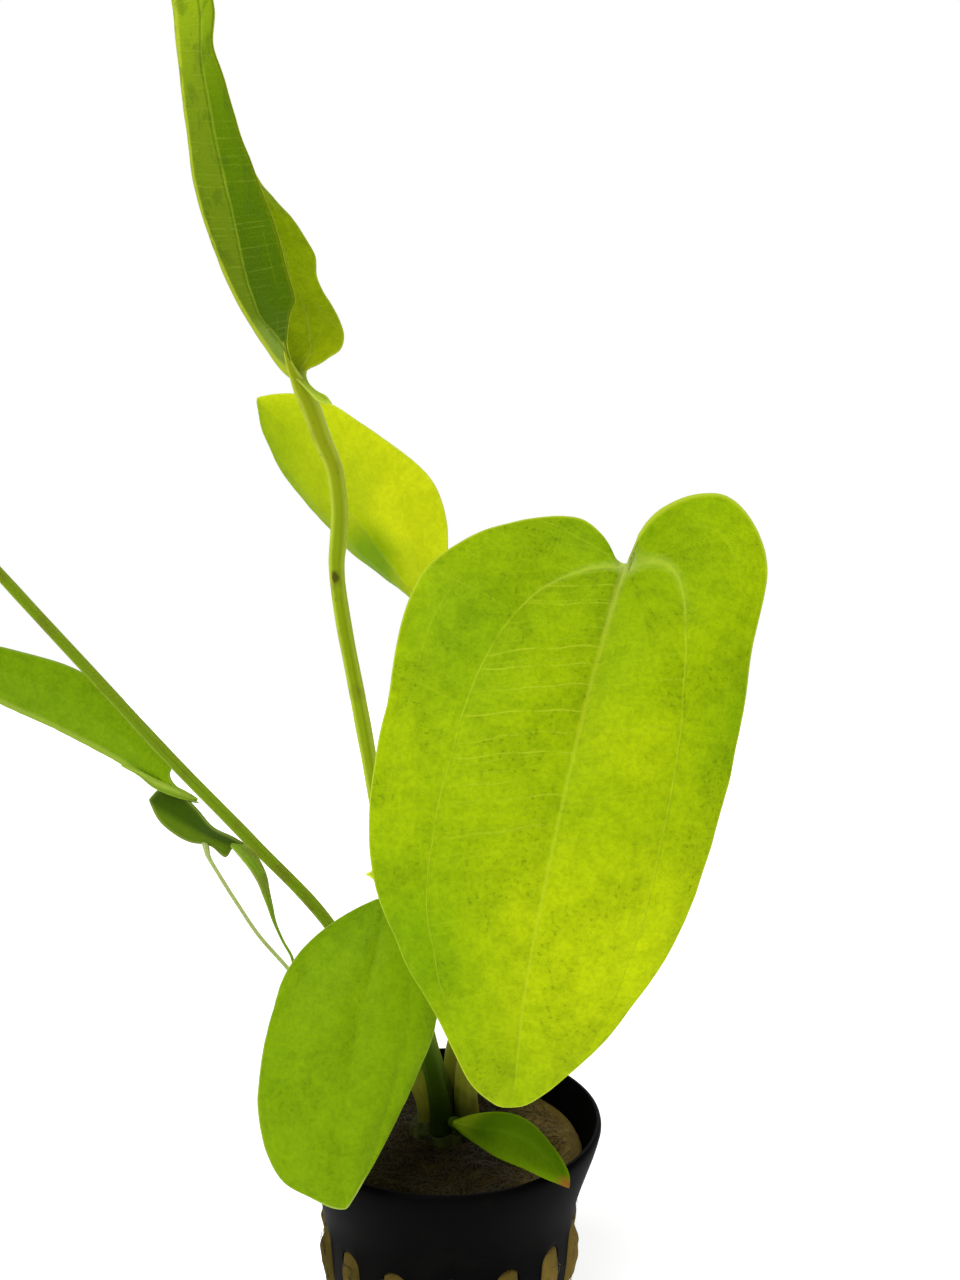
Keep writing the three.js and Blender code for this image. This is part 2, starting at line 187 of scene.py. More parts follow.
sideVeins = {
    "left": [[0, 0.25], [0.05, 0.37], [0.1, 0.43], [0.15, 0.475], [0.2, 0.505], [0.32, 0.52], [0.44, 0.58],
             [0.6, 0.61], [0.75, 0.68], [0.87, 0.82], [1, 1]],
    "right": [[0, 0.32], [0.1, 0.425], [0.16, 0.51], [0.21, 0.53], [0.3, 0.525], [0.36, 0.56], [0.43, 0.605],
              [0.6, 0.63], [0.75, 0.69], [0.87, 0.82], [1, 1]],
    "second": [[0, 0.55], [0.06, 0.6], [0.13, 0.7], [0.21, 0.82], [0.35, 0.84], [0.5, 0.87], [0.75, 0.93],
               [1, 1]],
}

blades = {
    "front_leaf": {
        "bulge": 1.6, "ripple": 0.35, "seed": 1,
        "rib": [[26.9, -33.8, 147.5], [22.6, -39, 134.8], [18.6, -43, 121], [14.7, -46, 105.1],
                [11.9, -45, 89.9], [10, -41, 70.5]],
        "left": [[25.9, -33.3, 148], [25.1, -32.8, 149.1], [24.6, -32.3, 150.5], [23.4, -31.6, 152.4],
                 [20.8, -30.2, 154.5], [14.7, -29, 155], [6.3, -30.5, 152.9], [-1.1, -33.5, 148.1],
                 [-4.1, -34.9, 144.2], [-5.9, -36, 139.8], [-7.8, -38.5, 127.6], [-10.2, -40.5, 113.6],
                 [-9.1, -41.5, 101.9], [-5.2, -42.5, 92.4], [-0.3, -43, 83.6], [4.1, -42.5, 74.8],
                 [6.7, -41.7, 72], [8.2, -41.2, 70.9]],
        "right": [[28.8, -33.4, 148.1], [29.2, -33, 149.2], [29, -32.4, 150.8], [29.8, -31.4, 152.8],
                  [31.3, -30.3, 154.7], [33.6, -29.1, 156.6], [38, -27.5, 158.5], [43.4, -27.5, 158.3],
                  [47, -29.5, 154.5], [48.1, -33.5, 146.6], [45.1, -36.5, 134.7], [42.1, -39.5, 122],
                  [38, -42.5, 108.4], [32.4, -43.5, 94.8], [25.2, -43.5, 83.8], [16.6, -42, 74.6],
                  [13.9, -41.6, 72.4], [11.9, -41.3, 71.1]],
    },
    "low_left_leaf": {
        "bulge": 1.2, "ripple": 0.3, "seed": 2,
        "form": {"midribGroove": 0.1, "midribRidge": 0.5, "sideGroove": 0.04, "dimple": 0.11,
                 "dimpleSize": 1.8},
        "rib": [[-10, -19, 94.2], [-10.9, -24, 86.4], [-13, -28, 77.7], [-14.1, -31, 69.8],
                [-14.9, -33, 61.8], [-14.3, -34, 52.1]],
        "left": [[-12.2, -18.5, 93.4], [-16.6, -19, 91.4], [-21.9, -21, 87.5], [-25.7, -24, 82.4],
                 [-27.5, -27, 75.7], [-28.1, -30, 67.1], [-27, -31.5, 60.3], [-23.9, -32.8, 55.5],
                 [-19.4, -33.7, 53.6], [-16.7, -33.9, 52.5]],
        "right": [[-7.3, -18, 92.6], [-2.7, -19, 88.5], [-0.3, -21, 82.2], [-1.5, -23.5, 75.6],
                  [-5, -27, 67.2], [-8.9, -30, 60.2], [-12.1, -32.4, 55.5]],
    },
    "upper_leaf": {
        "bulge": (-1.6, -0.4), "ripple": 0.4, "seed": 3, "crowding": 1.2,
        "form": {"midribGroove": -0.5, "midribRidge": 0.3, "sideGroove": -0.3, "sideWidth": 0.6,
                 "undulationSize": 9},
        "veins": {"right": [[0, 0.9], [0.08, 0.95], [0.092, 0.84], [0.103, 0.71], [0.122, 0.6], [0.141, 0.5],
                            [0.152, 0.4], [0.177, 0.33], [0.24, 0.34], [0.274, 0.39], [0.371, 0.53],
                            [0.45, 0.58], [0.6, 0.67], [0.71, 0.72], [0.85, 0.78], [1, 1]],
                  "left": [[0, 0.75], [0.09, 0.68], [0.135, 0.61], [0.17, 0.63], [0.21, 0.68], [0.25, 0.74],
                           [0.33, 0.72], [0.42, 0.73], [0.7, 0.78], [1, 1]]},
        "rib": [[-24.2, -20, 177.9], [-26.9, -20.5, 180.3], [-29.4, -21, 183.8], [-33.6, -22, 191],
                [-37.3, -23.7, 199.6], [-39.2, -25.4, 208], [-40.1, -27, 216.8], [-40.5, -28.6, 225.2],
                [-41.3, -30, 233.4], [-42.5, -31.7, 242.8], [-43.3, -33, 251.5]],
        "left": [[-23.5, -18.6, 179.3], [-22.9, -17, 181], [-21.2, -15.5, 182.3], [-19.9, -14.5, 183.6],
                 [-18.2, -13, 185.4], [-17.7, -11.8, 188.3], [-18.6, -10.8, 191.4], [-20.1, -10, 194.2],
                 [-21.5, -9.8, 196.4], [-22.8, -9.3, 199.3], [-23, -9, 202.9], [-24, -9, 205],
                 [-26.4, -9.2, 208.4], [-30.1, -9.7, 213], [-32.3, -10, 215.2], [-37.2, -12, 224.9],
                 [-40, -14, 234], [-40.8, -17, 242.1], [-41.5, -23, 249.2]],
        "right": [[-24.7, -22.5, 180.6], [-24.7, -26, 181.9], [-24, -29, 182.9], [-23, -32.5, 183.7],
                  [-22.1, -35.5, 184.4], [-21.4, -37.3, 185.3], [-22.4, -39, 190.4], [-23.8, -40.5, 195.4],
                  [-25.7, -41, 200.5], [-27.8, -41, 206.4], [-29.9, -40.5, 212.3], [-31.9, -39.5, 220],
                  [-33, -38, 228.1], [-35.6, -36, 238.2], [-40, -34, 247.8]],
    },
    "back_leaf": {
        "bulge": -1.5, "ripple": 0.3, "seed": 4, "form": {"sideGroove": 0.04, "midribRidge": 0.4},
        "rib": [[-4.3, 21, 141.5], [-11.9, 21, 151.6], [-22.3, 22, 165], [-31.8, 23, 177.6],
                [-40.9, 24, 186.6]],
        "left": [[-7, 24.5, 143.3], [-9.6, 27.5, 145.5], [-15.8, 31.5, 150], [-23.5, 33.5, 156.5],
                 [-27.9, 34, 161.4], [-37.1, 32, 172.4], [-40.6, 29, 180.3]],
        "right": [[-2.4, 17.5, 145.3], [-1.2, 14, 150], [-0.7, 12, 154.8], [-1.1, 10.5, 160.1],
                  [-4, 10, 167.6], [-11.3, 11.5, 174.1], [-17.8, 14, 178.9], [-24.2, 16.5, 183.4],
                  [-31.6, 20, 186.3], [-36.8, 22.5, 187]],
    },
    "left_leaf": {
        "bulge": -1.4, "ripple": 0.3, "seed": 5, "form": {"midribGroove": -0.2, "midribRidge": 0.2},
        "rib": [[-45.8, 0, 106.3], [-54.4, 1, 109.8], [-63.2, 2.5, 114.5], [-73.2, 4, 119.2],
                [-85.4, 6, 124.3], [-97.9, 8, 129.7], [-109.7, 10, 133.9]],
        "left": [[-51.1, 4, 107.4], [-59.3, 10, 112], [-71.8, 17, 119.7], [-86.7, 21, 126],
                 [-100.6, 20, 131.1]],
        "right": [[-48.1, -0.7, 108.1], [-50.6, -1, 110.6], [-50.95, -1, 112], [-50.5, -1, 113.2],
                  [-51.7, -1, 115.3], [-54.7, -0.6, 118.3], [-56.2, 0, 120.9], [-66.1, 1, 129.4],
                  [-75.6, 2, 133], [-83.9, 3, 134.9], [-96.2, 5, 137.3]],
    },
    "far_left_leaf": {
        "bulge": -1.2, "ripple": 0.4, "seed": 6,
        "rib": [[-92, -9.5, 163.3], [-98, -11, 170], [-108, -13.5, 177], [-120, -16, 181], [-133, -18, 181],
                [-145, -19.5, 177]],
        "left": [[-90.5, -5, 164.5], [-91.5, 2, 168.5], [-98, 8, 173.5], [-109, 9.5, 178.5], [-122, 5, 182],
                 [-135, -6, 181.5]],
        "right": [[-90.5, -14, 163], [-92, -22, 165.5], [-98.5, -30, 169.5], [-109, -34, 174],
                  [-122, -33, 178], [-135, -27, 179.5]],
    },
    "small_leaf": {
        "bulge": 0.3, "arch": 0.4, "ripple": 0.15, "seed": 7,
        "form": {"midribGroove": 0.02, "midribRidge": 0.1, "sideGroove": 0, "puff": 0.1, "dimple": 0.02},
        "rib": [[0.1, -2, 48.8], [6, -9, 51.1], [12.2, -16, 53], [16.6, -23, 52.9], [19.3, -27, 51.2]],
        "left": [[3.2, -8, 49.2], [8, -15, 49.8], [12.3, -21, 51], [15.7, -25, 51.6]],
        "right": [[5, -2.6, 50.6], [10.5, -5, 51.9], [14.6, -8.5, 51.8], [17.6, -15, 51.3],
                  [19.5, -23.5, 51.4]],
    },
}

earLobe = {  # narrow lobe of the upper leaf's far half that lies across the stalk
    "bulge": -0.3, "ripple": 0.1, "seed": 10,
    "form": {"midribGroove": 0, "midribRidge": 0.1, "sideGroove": 0, "puff": 0.1, "dimple": 0.03,
             "scallop": 0},
    "rib": [[-25, -14, 186.4], [-24.6, -15.3, 184], [-24.1, -17.2, 181.5], [-23.2, -19.6, 179],
            [-22.3, -21.2, 177.1], [-20.9, -21.8, 175.7], [-19.5, -22, 174.8], [-18.2, -22, 174.1]],
    "left": [[-25.7, -15, 184.8], [-25.9, -17, 182.2], [-25.3, -19.2, 180.1], [-24.3, -21, 178.5],
             [-23.2, -21.8, 177.4], [-22, -21.9, 176.2], [-20.7, -22, 174.7], [-19.5, -22, 174.1]],
    "right": [[-24.2, -14, 184.7], [-23.4, -15.4, 182], [-23, -18, 179.3], [-22, -20, 177.5],
              [-20.6, -21, 176.2], [-19.2, -21.5, 175.4]],
}

curledLobe = {
    "bulge": 0, "arch": 0.6, "ripple": 0.25, "seed": 8,
    "form": {"midribGroove": 0, "midribRidge": 0, "sideGroove": 0, "puff": 0, "dimple": 0.03},
    "rib": [[-36.3, 0, 97.7], [-42, 1, 99.7], [-49, 1.5, 103.3], [-55.8, 2, 106.7]],
    "left": [[-39.1, -1, 100.1], [-43.2, -1.2, 102.2], [-46.3, -0.7, 105.6], [-49.5, 0.3, 108.1],
             [-53.4, 1, 108.8]],
    "right": [[-40.3, 2, 97.7], [-41.7, 2.5, 95.9], [-44.6, 3, 97.8], [-49, 3.5, 98.7], [-54.1, 3, 102.5]],
}

marginScale = {  # a small pointed scale on the front leaf's left margin
    "bulge": 0.1, "ripple": 0, "seed": 9,
    "form": {"thickness": 0.25, "midribGroove": 0, "midribRidge": 0, "sideGroove": 0, "puff": 0,
             "scallop": 0},
    "rib": [[-8.3, -41.3, 103.1], [-9.4, -41.2, 103.2], [-10.6, -41.1, 103.35]],
    "left": [[-8.9, -41.3, 104.5], [-9.6, -41.2, 103.9]],
    "right": [[-8.6, -41.3, 101.9], [-9.5, -41.2, 102.7]],
}

bladeForm = {  # mm, and shares of the half width or length
    "thickness": 0.5, "edgeFrom": 0.965, "midribGroove": 0.28, "midribRidge": 0.7, "midribWidth": 0.8,
    "sideGroove": 0.13, "sideWidth": 0.42, "secondShare": 0.6, "puff": 0.28, "undulation": 0.5,
    "undulationSize": 13, "dimple": 0.07, "dimpleSize": 2.4, "scallop": 0.22, "scallopSize": 7,
    "frillSize": 6.0, "taper": 0.75, "fullLength": 45,
}

ribUnder = {}  # shares of the length, points and normals under each midrib, for the stalks to run on


def bladePiece(name, leaf, materials, rows, half):
    form = {**bladeForm, **leaf.get("form", {})}
    s = np.linspace(0, 1, rows + 1) ** leaf.get("crowding", 1)
    rib, length = evenly(leaf["rib"], s)
    start, tip = leaf["rib"][0], leaf["rib"][-1]
    edges = {side: evenly([start] + leaf[key] + [tip], s)[0] for side, key in ((-1, "left"), (1, "right"))}
    tangent = unit(np.gradient(rib, axis=0))
    ends = np.sin(np.pi * np.clip(s, 0, 1))[:, None] ** 0.5
    full = min(1.0, length / form["fullLength"])  # small leaves get shallower relief
    reach = np.concatenate([np.linspace(0, 0.95, half), [0.967, 0.98, 0.991, 0.997, 1.0]])
    v = np.concatenate([-reach[:0:-1], reach])
    veins = {key: np.interp(s, *np.array(shares).T)[:, None]
             for key, shares in {**sideVeins, **leaf.get("veins", {})}.items()}
    first = np.where(v[None, :] < 0, veins["left"], veins["right"])
    points = np.zeros((rows + 1, len(v), 3))
    flat = np.zeros((rows + 1, len(v), 2))
    halfWidth = np.zeros((rows + 1, len(v)))
    bulge = np.broadcast_to(leaf["bulge"], 2)
    for side in (-1, 1):
        outward = edges[side] - rib
        sway = noiseField(edges[side], form["scallopSize"], leaf["seed"] + 40)[:, None] * form["scallop"]
        outward = outward + unit(outward) * sway * ends * full
        upward = unit(np.cross(tangent, outward) * side)
        along = np.sum(outward * tangent, axis=1)
        width = np.linalg.norm(outward - tangent * along[:, None], axis=1)
        for j in np.flatnonzero(v * side >= 0):
            a = abs(v[j])
            belly = bulge[(side + 1) // 2] * 4 * a * (1 - a)
            lift = (belly + leaf.get("arch", 0) * (1 - a * a)) * np.sin(np.pi * s)
            points[:, j] = rib + outward * a + upward * lift[:, None]
            flat[:, j] = np.stack([side * a * width, s * length + a * along], axis=-1)
            halfWidth[:, j] = width
    down = points[2:, 1:-1] - points[:-2, 1:-1]
    normal = np.zeros_like(points)
    normal[1:-1, 1:-1] = unit(np.cross(down, points[1:-1, 2:] - points[1:-1, :-2]))
    normal[1:-1, [0, -1]] = normal[1:-1, [1, -2]]
    reachGrid = np.abs(v)[None, :] * np.ones((rows + 1, 1))
    distance = np.abs(flat[..., 0])
    toFirst = distance - first * halfWidth
    toSecond = distance - veins["second"] * halfWidth
    toMargin = (1 - reachGrid) * halfWidth
    taper = (1 - form["taper"] * s)[:, None]
    midrib = taper * np.exp(-(distance / (form["midribWidth"] * full)) ** 2)
    groove = form["midribGroove"] * midrib
    for share, away in ((1, toFirst), (form["secondShare"], toSecond)):
        groove = groove + share * form["sideGroove"] * taper * np.exp(-(away / form["sideWidth"]) ** 2)
    ridge = form["midribRidge"] * midrib
    outer = (reachGrid - first) / np.maximum(1 - first, 0.02)
    panel = np.where(reachGrid < first, reachGrid / first, outer)
    puff = form["puff"] * np.sin(np.pi * np.clip(panel, 0, 1))
    wave = noiseField(points, form["undulationSize"], leaf["seed"]) * form["undulation"]
    dimple = noiseField(points, form["dimpleSize"], leaf["seed"] + 60) * form["dimple"]
    frill = noiseField(points, form["frillSize"], leaf["seed"] + 20) * leaf["ripple"] * reachGrid ** 3
    height = (puff - groove + wave + dimple + frill) * ends * full
    over = np.clip((reachGrid - form["edgeFrom"]) / (1 - form["edgeFrom"]), 0, 1)
    atEnds = np.sqrt(smoothStep(0, 0.03, s) * smoothStep(1, 0.985, s))[:, None]
    thick = form["thickness"] * np.sqrt(1 - over ** 2) * atEnds * (0.6 + 0.4 * full)
    upper = points + normal * (height + thick / 2)[..., None]
    lower = points + normal * (height - thick / 2 - ridge * ends * full * (1 - over))[..., None]
    margin = points + normal * height[..., None]
    columns, centre = len(v), len(v) // 2
    ribUnder[name] = (s, lower[:, centre], normal[:, centre])
    sheets = {"upper": upper, "lower": lower, "edge": margin, "end": points}
    vertices, places = [], {}

    def vertex(sheet, i, j):
        key = (sheet, i, j)
        if i in (0, rows):
            key = ("end", i, 0)
        elif j in (0, columns - 1):
            key = ("edge", i, j)
        if key not in places:
            places[key] = len(vertices)
            across = v[j] if key[0] != "end" else 0
            vertices.append((sheets[key[0]][i, j], flat[i, j], (toFirst[i, j], toSecond[i, j]),
                             (across, s[i]), (toMargin[i, j], 0)))
        return places[key]

    faces, faceMaterial = [], []
    for i in range(rows):
        for j in range(columns - 1):
            for number, (sheet, order) in enumerate((("upper", (0, 1, 2, 3)), ("lower", (0, 3, 2, 1)))):
                ring = [vertex(sheet, i, j), vertex(sheet, i + 1, j), vertex(sheet, i + 1, j + 1),
                        vertex(sheet, i, j + 1)]
                ring = [ring[k] for k in order]
                face = [c for k, c in enumerate(ring) if c != ring[k - 1]]
                if len(face) > 2:
                    faces.append(face)
                    faceMaterial.append(number)
    layers = {layer: [p[k] for p in vertices] for k, layer in enumerate(("flat", "veins", "span", "edge"), 1)}
    return makePiece(name, [p[0] for p in vertices], faces, materials, layers, faceMaterial)


# Leaf tissue: living mesophyll under a thin waxy cuticle. It gives a vivid yellow-green that lets light
# through, pale veins, a soft mottle and hardly any gloss. The underside is a little paler.

leafLooks = {
    "front": {"deep": "90b404", "fresh": "d6e20a", "vein": "ccdc30", "glow": "c8e010", "crossVeins": 0.75,
              "rightVeins": 0.35, "outerVeins": 0.3, "bloom": 0.22, "halo": 0.28, "start": 0.08, "tip": 0.36,
              "veinShow": 0.9, "underPale": 0.2, "flecks": 0.4, "mottled": 0.75,
              "patches": [(14, 58, 30, 0.7), (26, 18, 15, -0.4), (-16, 62, 18, -0.55), (-20, 16, 16, -0.4),
                          (8, 28, 11, 0.35)]},
    "low": {"deep": "7ca40a", "fresh": "a0c00c", "vein": "a4c020", "glow": "a8cc10", "crossVeins": 0.12,
            "start": 0.4, "tip": 0.3, "side": 0.1, "veinShow": 0.15, "underPale": 0.2, "flecks": 0.25,
            "mottled": 0.6, "rim": ("d8e488", 0.5)},
    "upper": {"deep": "9cc00a", "fresh": "d4e014", "vein": "c4d444", "glow": "c0d810", "crossVeins": 0.22,
              "outerVeins": 0.8, "allAlong": True, "spacing": 0.5, "bloom": 0.2, "start": 0.66, "tip": -0.4,
              # painted light: side -0.3 makes the far half fresher, for light coming through it
              "side": -0.3, "veinShow": 0.9, "flecks": 0.2, "mottled": 0.75, "blotched": 0.4,
              "sheen": 0.02, "rim": ("d4e070", 0.25),
              # painted shadow: a darker strip beside the midrib on the far half, cast by the near half's
              # margin
              "underRim": ("545c10", 0.7), "bands": [("marginShadowStrip", 4.6, 2.6, "5c7c04", 0.3)],
              # painted shade on the underside: the dark panel outside the first side vein and the darker
              # base, where the near half hangs in front of the far half and less light comes through; the
              # other bands are the leaf's own tones
              "underTonesAndShade": [("s", 0.0, 0.01, "789e08", 0.85), ("fromRib", 0.4, 6, "849814", 0.35),
                             ("toFirst", -0.1, 0.5, "5c7c04", 0.75), ("s", 0.6, 0.2, "365400", 0.72),
                             ("toFirst", 0.4, -0.2, "809418", 0.6), ("s", 0.5, 0.8, "b8d01c", 0.65),
                             ("baseInside", 18, 12, "a0b850", 0.55), ("fromRib", 1.9, 1.1, "ccd83c", 0.9)],
              # painted shade and light: a dark line on the midrib side and a light line on the margin side of
              # the groove along the first side vein
              "underGrooveShading": [("toFirst", -0.35, 0.5, "48600c", 0.6), ("toFirst", 0.45, 0.5, "a0b828", 0.6)]},
    "back": {"deep": "84ac06", "fresh": "e8ec1c", "vein": "d8e428", "glow": "e8f020", "crossVeins": 0.0,
             "bloom": 0.1, "start": 0.52, "tip": 0.1, "side": 0.4, "veinShow": 0.1, "mottled": 0.25,
             "rim": ("ecf490", 0.6), "patches": [(-4, 17, 11, -0.7), (9, 20, 10, 0.4), (0, 50, 14, -0.2)]},
    "left": {"deep": "7ca408", "fresh": "a0c00c", "vein": "a4bc20", "glow": "a4c414", "crossVeins": 0.1,
             "bloom": 0.3, "start": 0.35, "tip": 0.1, "side": 0.1, "veinShow": 0.2, "flecks": 0.1,
             "mottled": 0.4, "bands": [("fromRib", 1.6, 0.6, "b8cc50", 0.6)]},
    # painted shade: the curled lobe's very deep greens and its darker part towards negative x stand for the
    # shade it lies in
    "curledShaded": {"deep": "305402", "fresh": "6c8c0c", "vein": "7c9c18", "glow": "4c7406", "crossVeins": 0.0,
               "start": 0.1, "tip": 1.2, "mottled": 0.2, "rim": ("a4b854", 0.4), "underRim": ("a4b854", 0.4),
               "bands": [("toMargin", 1.1, 0.4, "9cb048", 0.7), ("x", 1.9, -0.6, "244202", 0.7)]},
    # painted light and shade: the ear lobe is brighter than the rest of the upper leaf, lifting the shade the
    # near half casts on it, and its olive-brown strip along the fold side is painted shade
    "ear": {"deep": "b0c828", "fresh": "d8e83c", "vein": "c8d860", "glow": "dcec40", "crossVeins": 0.0,
            "start": 0.5, "tip": -0.2, "veinShow": 0.6, "mottled": 0.3, "rim": ("d4e080", 0.3),
            "bands": [("s", 0.5, 0.25, "98b414", 0.9), ("x", -0.6, -1.3, "7c7428", 0.7)]},
    "small": {"deep": "587c08", "fresh": "78980c", "vein": "8ca428", "glow": "7c9c0c", "crossVeins": 0.0,
              "start": 0.7, "tip": -0.5, "side": -0.3, "underPale": 0.1, "veinShow": 0.2, "mottled": 0.2,
              "sheen": 0.0, "rim": ("7ca010", 0.3), "patches": [(1, 10, 7, -0.5)],
              # painted light: the base is brightened where it lies in shade
              "bands": [("s", 0.3, 0.05, "b4cc24", 0.8), ("toMargin", 1.5, 0.1, "86ac10", 0.5)]},
}
plainLook = {  # what a look has where it says nothing else
    "rightVeins": 1.0, "outerVeins": 0.0, "allAlong": False, "spacing": 1.0, "bloom": 0.0, "halo": 0.0,
    "side": 0.0, "veinShow": 0.0, "underPale": 0.0, "flecks": 0.0, "patches": [], "bands": [],
    "underTonesAndShade": [], "underGrooveShading": [], "rim": ("d8e488", 0.2), "underRim": ("d8e488", 0.2), "sheen": 0.05,
    "blotched": 0.0,
}

leafScale = {  # real sizes in mm
    "midrib": 0.62, "sideVein": 0.3, "secondVein": 0.21, "crossVein": 0.22, "cell": 1.0, "margin": 0.55,
    "rim": 0.45, "bloom": 2.6, "halo": 17,
}
leafTint = {
    "mottle": "a0b870", "speckle": "98b468", "drift": "a8bc78", "fleck": "688840", "cell": "a8c068",
    "blotch": "446414", "halo": "ccdc60", "bloom": "dce4a4", "driedTip": "a8742a", "underPale": "b4c48c",
}

leafNoise = {  # wavelength in mm, detail and roughness of each pattern
    "patch": (20, 2, 0.5), "drift": (9, 3, 0.6), "bend": (8, 1, 0.6), "gaps": (7, 1, 0.6),
    "breaks": (4.5, 1, 0.6), "blotch": (4, 4, 0.6), "mottle": (2.6, 5, 0.65), "spot": (0.75, 1, 0.6),
    "speckle": (0.7, 2, 0.6), "grain": (0.3, 2, 0.6),
}

crossVeinKinds = {  # slope is mm along for each mm out, strength runs from the weakest to the strongest
    "strong": {"slope": 0.34, "spacing": 3.2, "seed": 0.0, "strength": (0.2, 1.0)},
    "faint": {"slope": 0.34, "spacing": 1.55, "seed": 20.0, "strength": (0.0, 0.4)},
    "outer": {"slope": 0.3, "spacing": 2.6, "seed": 50.0, "strength": (0.1, 1.0)},
}


def leafMaterial(name, look, under=False, brownTip=False):
    material, tree = newMaterial(name)
    size, tint, look = leafScale, leafTint, {**plainLook, **look}
    calc, remap, blend = "Math", "MapRange", "Mix"
    layer = {key: addNode(tree, "UVMap", {"uv_map": key}) for key in ("flat", "veins", "span", "edge")}
    part = {key: addNode(tree, "SeparateXYZ", None, {0: layer[key]}).outputs for key in layer}
    x, y, toFirst, toSecond, across, s = (part[key][k] for key in ("flat", "veins", "span") for k in (0, 1))
    toMargin = part["edge"][0]
    absX = addNode(tree, calc, {"operation": "ABSOLUTE"}, {0: x})
    side = addNode(tree, calc, {"operation": "SIGN"}, {0: x})
    noises = {}
    for key, (wavelength, detail, roughness) in leafNoise.items():
        noises[key] = addNode(tree, "TexNoise", {
            "noise_dimensions": "2D", "Scale": 1 / wavelength, "Detail": detail, "Roughness": roughness},
            {"Vector": layer["flat"]})

    # what a look's bands and lines go by: also the base inside the first side veins, and a strip beside
    # the midrib that widens towards the tip, for the painted shadow of the upper leaf's near margin
    percent = addNode(tree, calc, {**product, 1: 100.0}, {0: s})
    within = addNode(tree, calc, {**productSum, 1: 10.0, 2: 17.0}, {0: toFirst})
    fields = {
        "fromRib": absX, "toFirst": toFirst, "toMargin": toMargin, "x": x, "s": s,
        "baseInside": addNode(tree, calc, {"operation": "MAXIMUM"}, {0: percent, 1: within}),
        "marginShadowStrip": addNode(tree, calc, {**productSum, 1: -18.0}, {0: s, 2: absX}),
    }

    # long veins: distances in mm become soft lines that thin towards the tip
    thin = addNode(tree, remap, {"To Min": 1.0, "To Max": 0.3}, {"Value": s})
    lines, offsets = [], []
    for source, width in ((x, size["midrib"]), (toFirst, size["sideVein"]), (toSecond, size["secondVein"])):
        offsets.append(addNode(tree, calc, {"operation": "ABSOLUTE"}, {0: source}))
        scaled = addNode(tree, calc, {"operation": "DIVIDE"}, {0: offsets[-1], 1: thin})
        lines.append(addNode(tree, remap, {**smooth, "From Min": width, "From Max": width * 0.15},
                             {"Value": scaled}))
    midrib, firstLine, secondLine = lines

    # cross veins: straight lines at uneven spacing and strength, each within its own strip
    crossVeins = None
    for kind, cross in crossVeinKinds.items():
        outer = kind == "outer"
        border = -0.3 if outer else 0.3
        panel = addNode(tree, remap, {**smooth, "From Min": border, "From Max": -border}, {"Value": toFirst})
        spacing = cross["spacing"] * look["spacing"]
        sloped = addNode(tree, calc, {**productSum, 1: cross["slope"]}, {0: absX if outer else x, 2: y})
        bent = addNode(tree, calc, {**productSum, 1: 1.2 * look["spacing"] ** 2},
                       {0: noises["bend"], 2: sloped})
        count = addNode(tree, calc, {**productSum, 1: 1 / spacing, 2: cross["seed"]}, {0: bent})
        whole = addNode(tree, calc, {"operation": "FLOOR"}, {0: count})
        within = addNode(tree, calc, {"operation": "FRACT"}, {0: count})
        keyed = addNode(tree, calc, {**productSum, 1: 37.0}, {0: side, 2: whole})  # its own on each half
        chance = addNode(tree, "TexWhiteNoise", {"noise_dimensions": "1D"}, {"W": keyed})
        dice = addNode(tree, "SeparateColor", None, {0: chance.outputs["Color"]}).outputs
        turn = addNode(tree, calc, {**productSum, 1: 0.03, 2: -0.015}, {0: dice[1]})
        turned = addNode(tree, calc, productSum, {0: absX, 1: turn, 2: within})
        place = addNode(tree, calc, {**productSum, 1: 0.3, 2: 0.35}, {0: dice[2]})
        apart = addNode(tree, calc, {"operation": "SUBTRACT"}, {0: turned, 1: place})
        away = addNode(tree, calc, {"operation": "ABSOLUTE"}, {0: apart})
        shown = addNode(tree, remap, {**smooth, "From Min": size["crossVein"] / spacing, "From Max": 0.0},
                        {"Value": away})
        weak, strong = (value * (look["outerVeins"] if outer else 1) for value in cross["strength"])
        strength = addNode(tree, remap, {"To Min": weak, "To Max": strong}, {"Value": dice[0]})
        for mask in (strength, panel):
            shown = addNode(tree, calc, product, {0: shown, 1: mask})
        if crossVeins is not None:
            shown = addNode(tree, calc, {"operation": "ADD", "use_clamp": True}, {0: crossVeins, 1: shown})
        crossVeins = shown
    fades = [(x, -0.4, 0.4, 1.0, look["rightVeins"]), (noises["breaks"], 0.36, 0.56, 0.25, 1.0)]
    if not look["allAlong"]:
        fades.append((s, 0.8, 0.3, 0.2, 1.0))
    for source, start, full, low, high in fades:
        fade = addNode(tree, remap, {
            **smooth, "From Min": start, "From Max": full, "To Min": low, "To Max": high}, {"Value": source})
        crossVeins = addNode(tree, calc, product, {0: crossVeins, 1: fade})

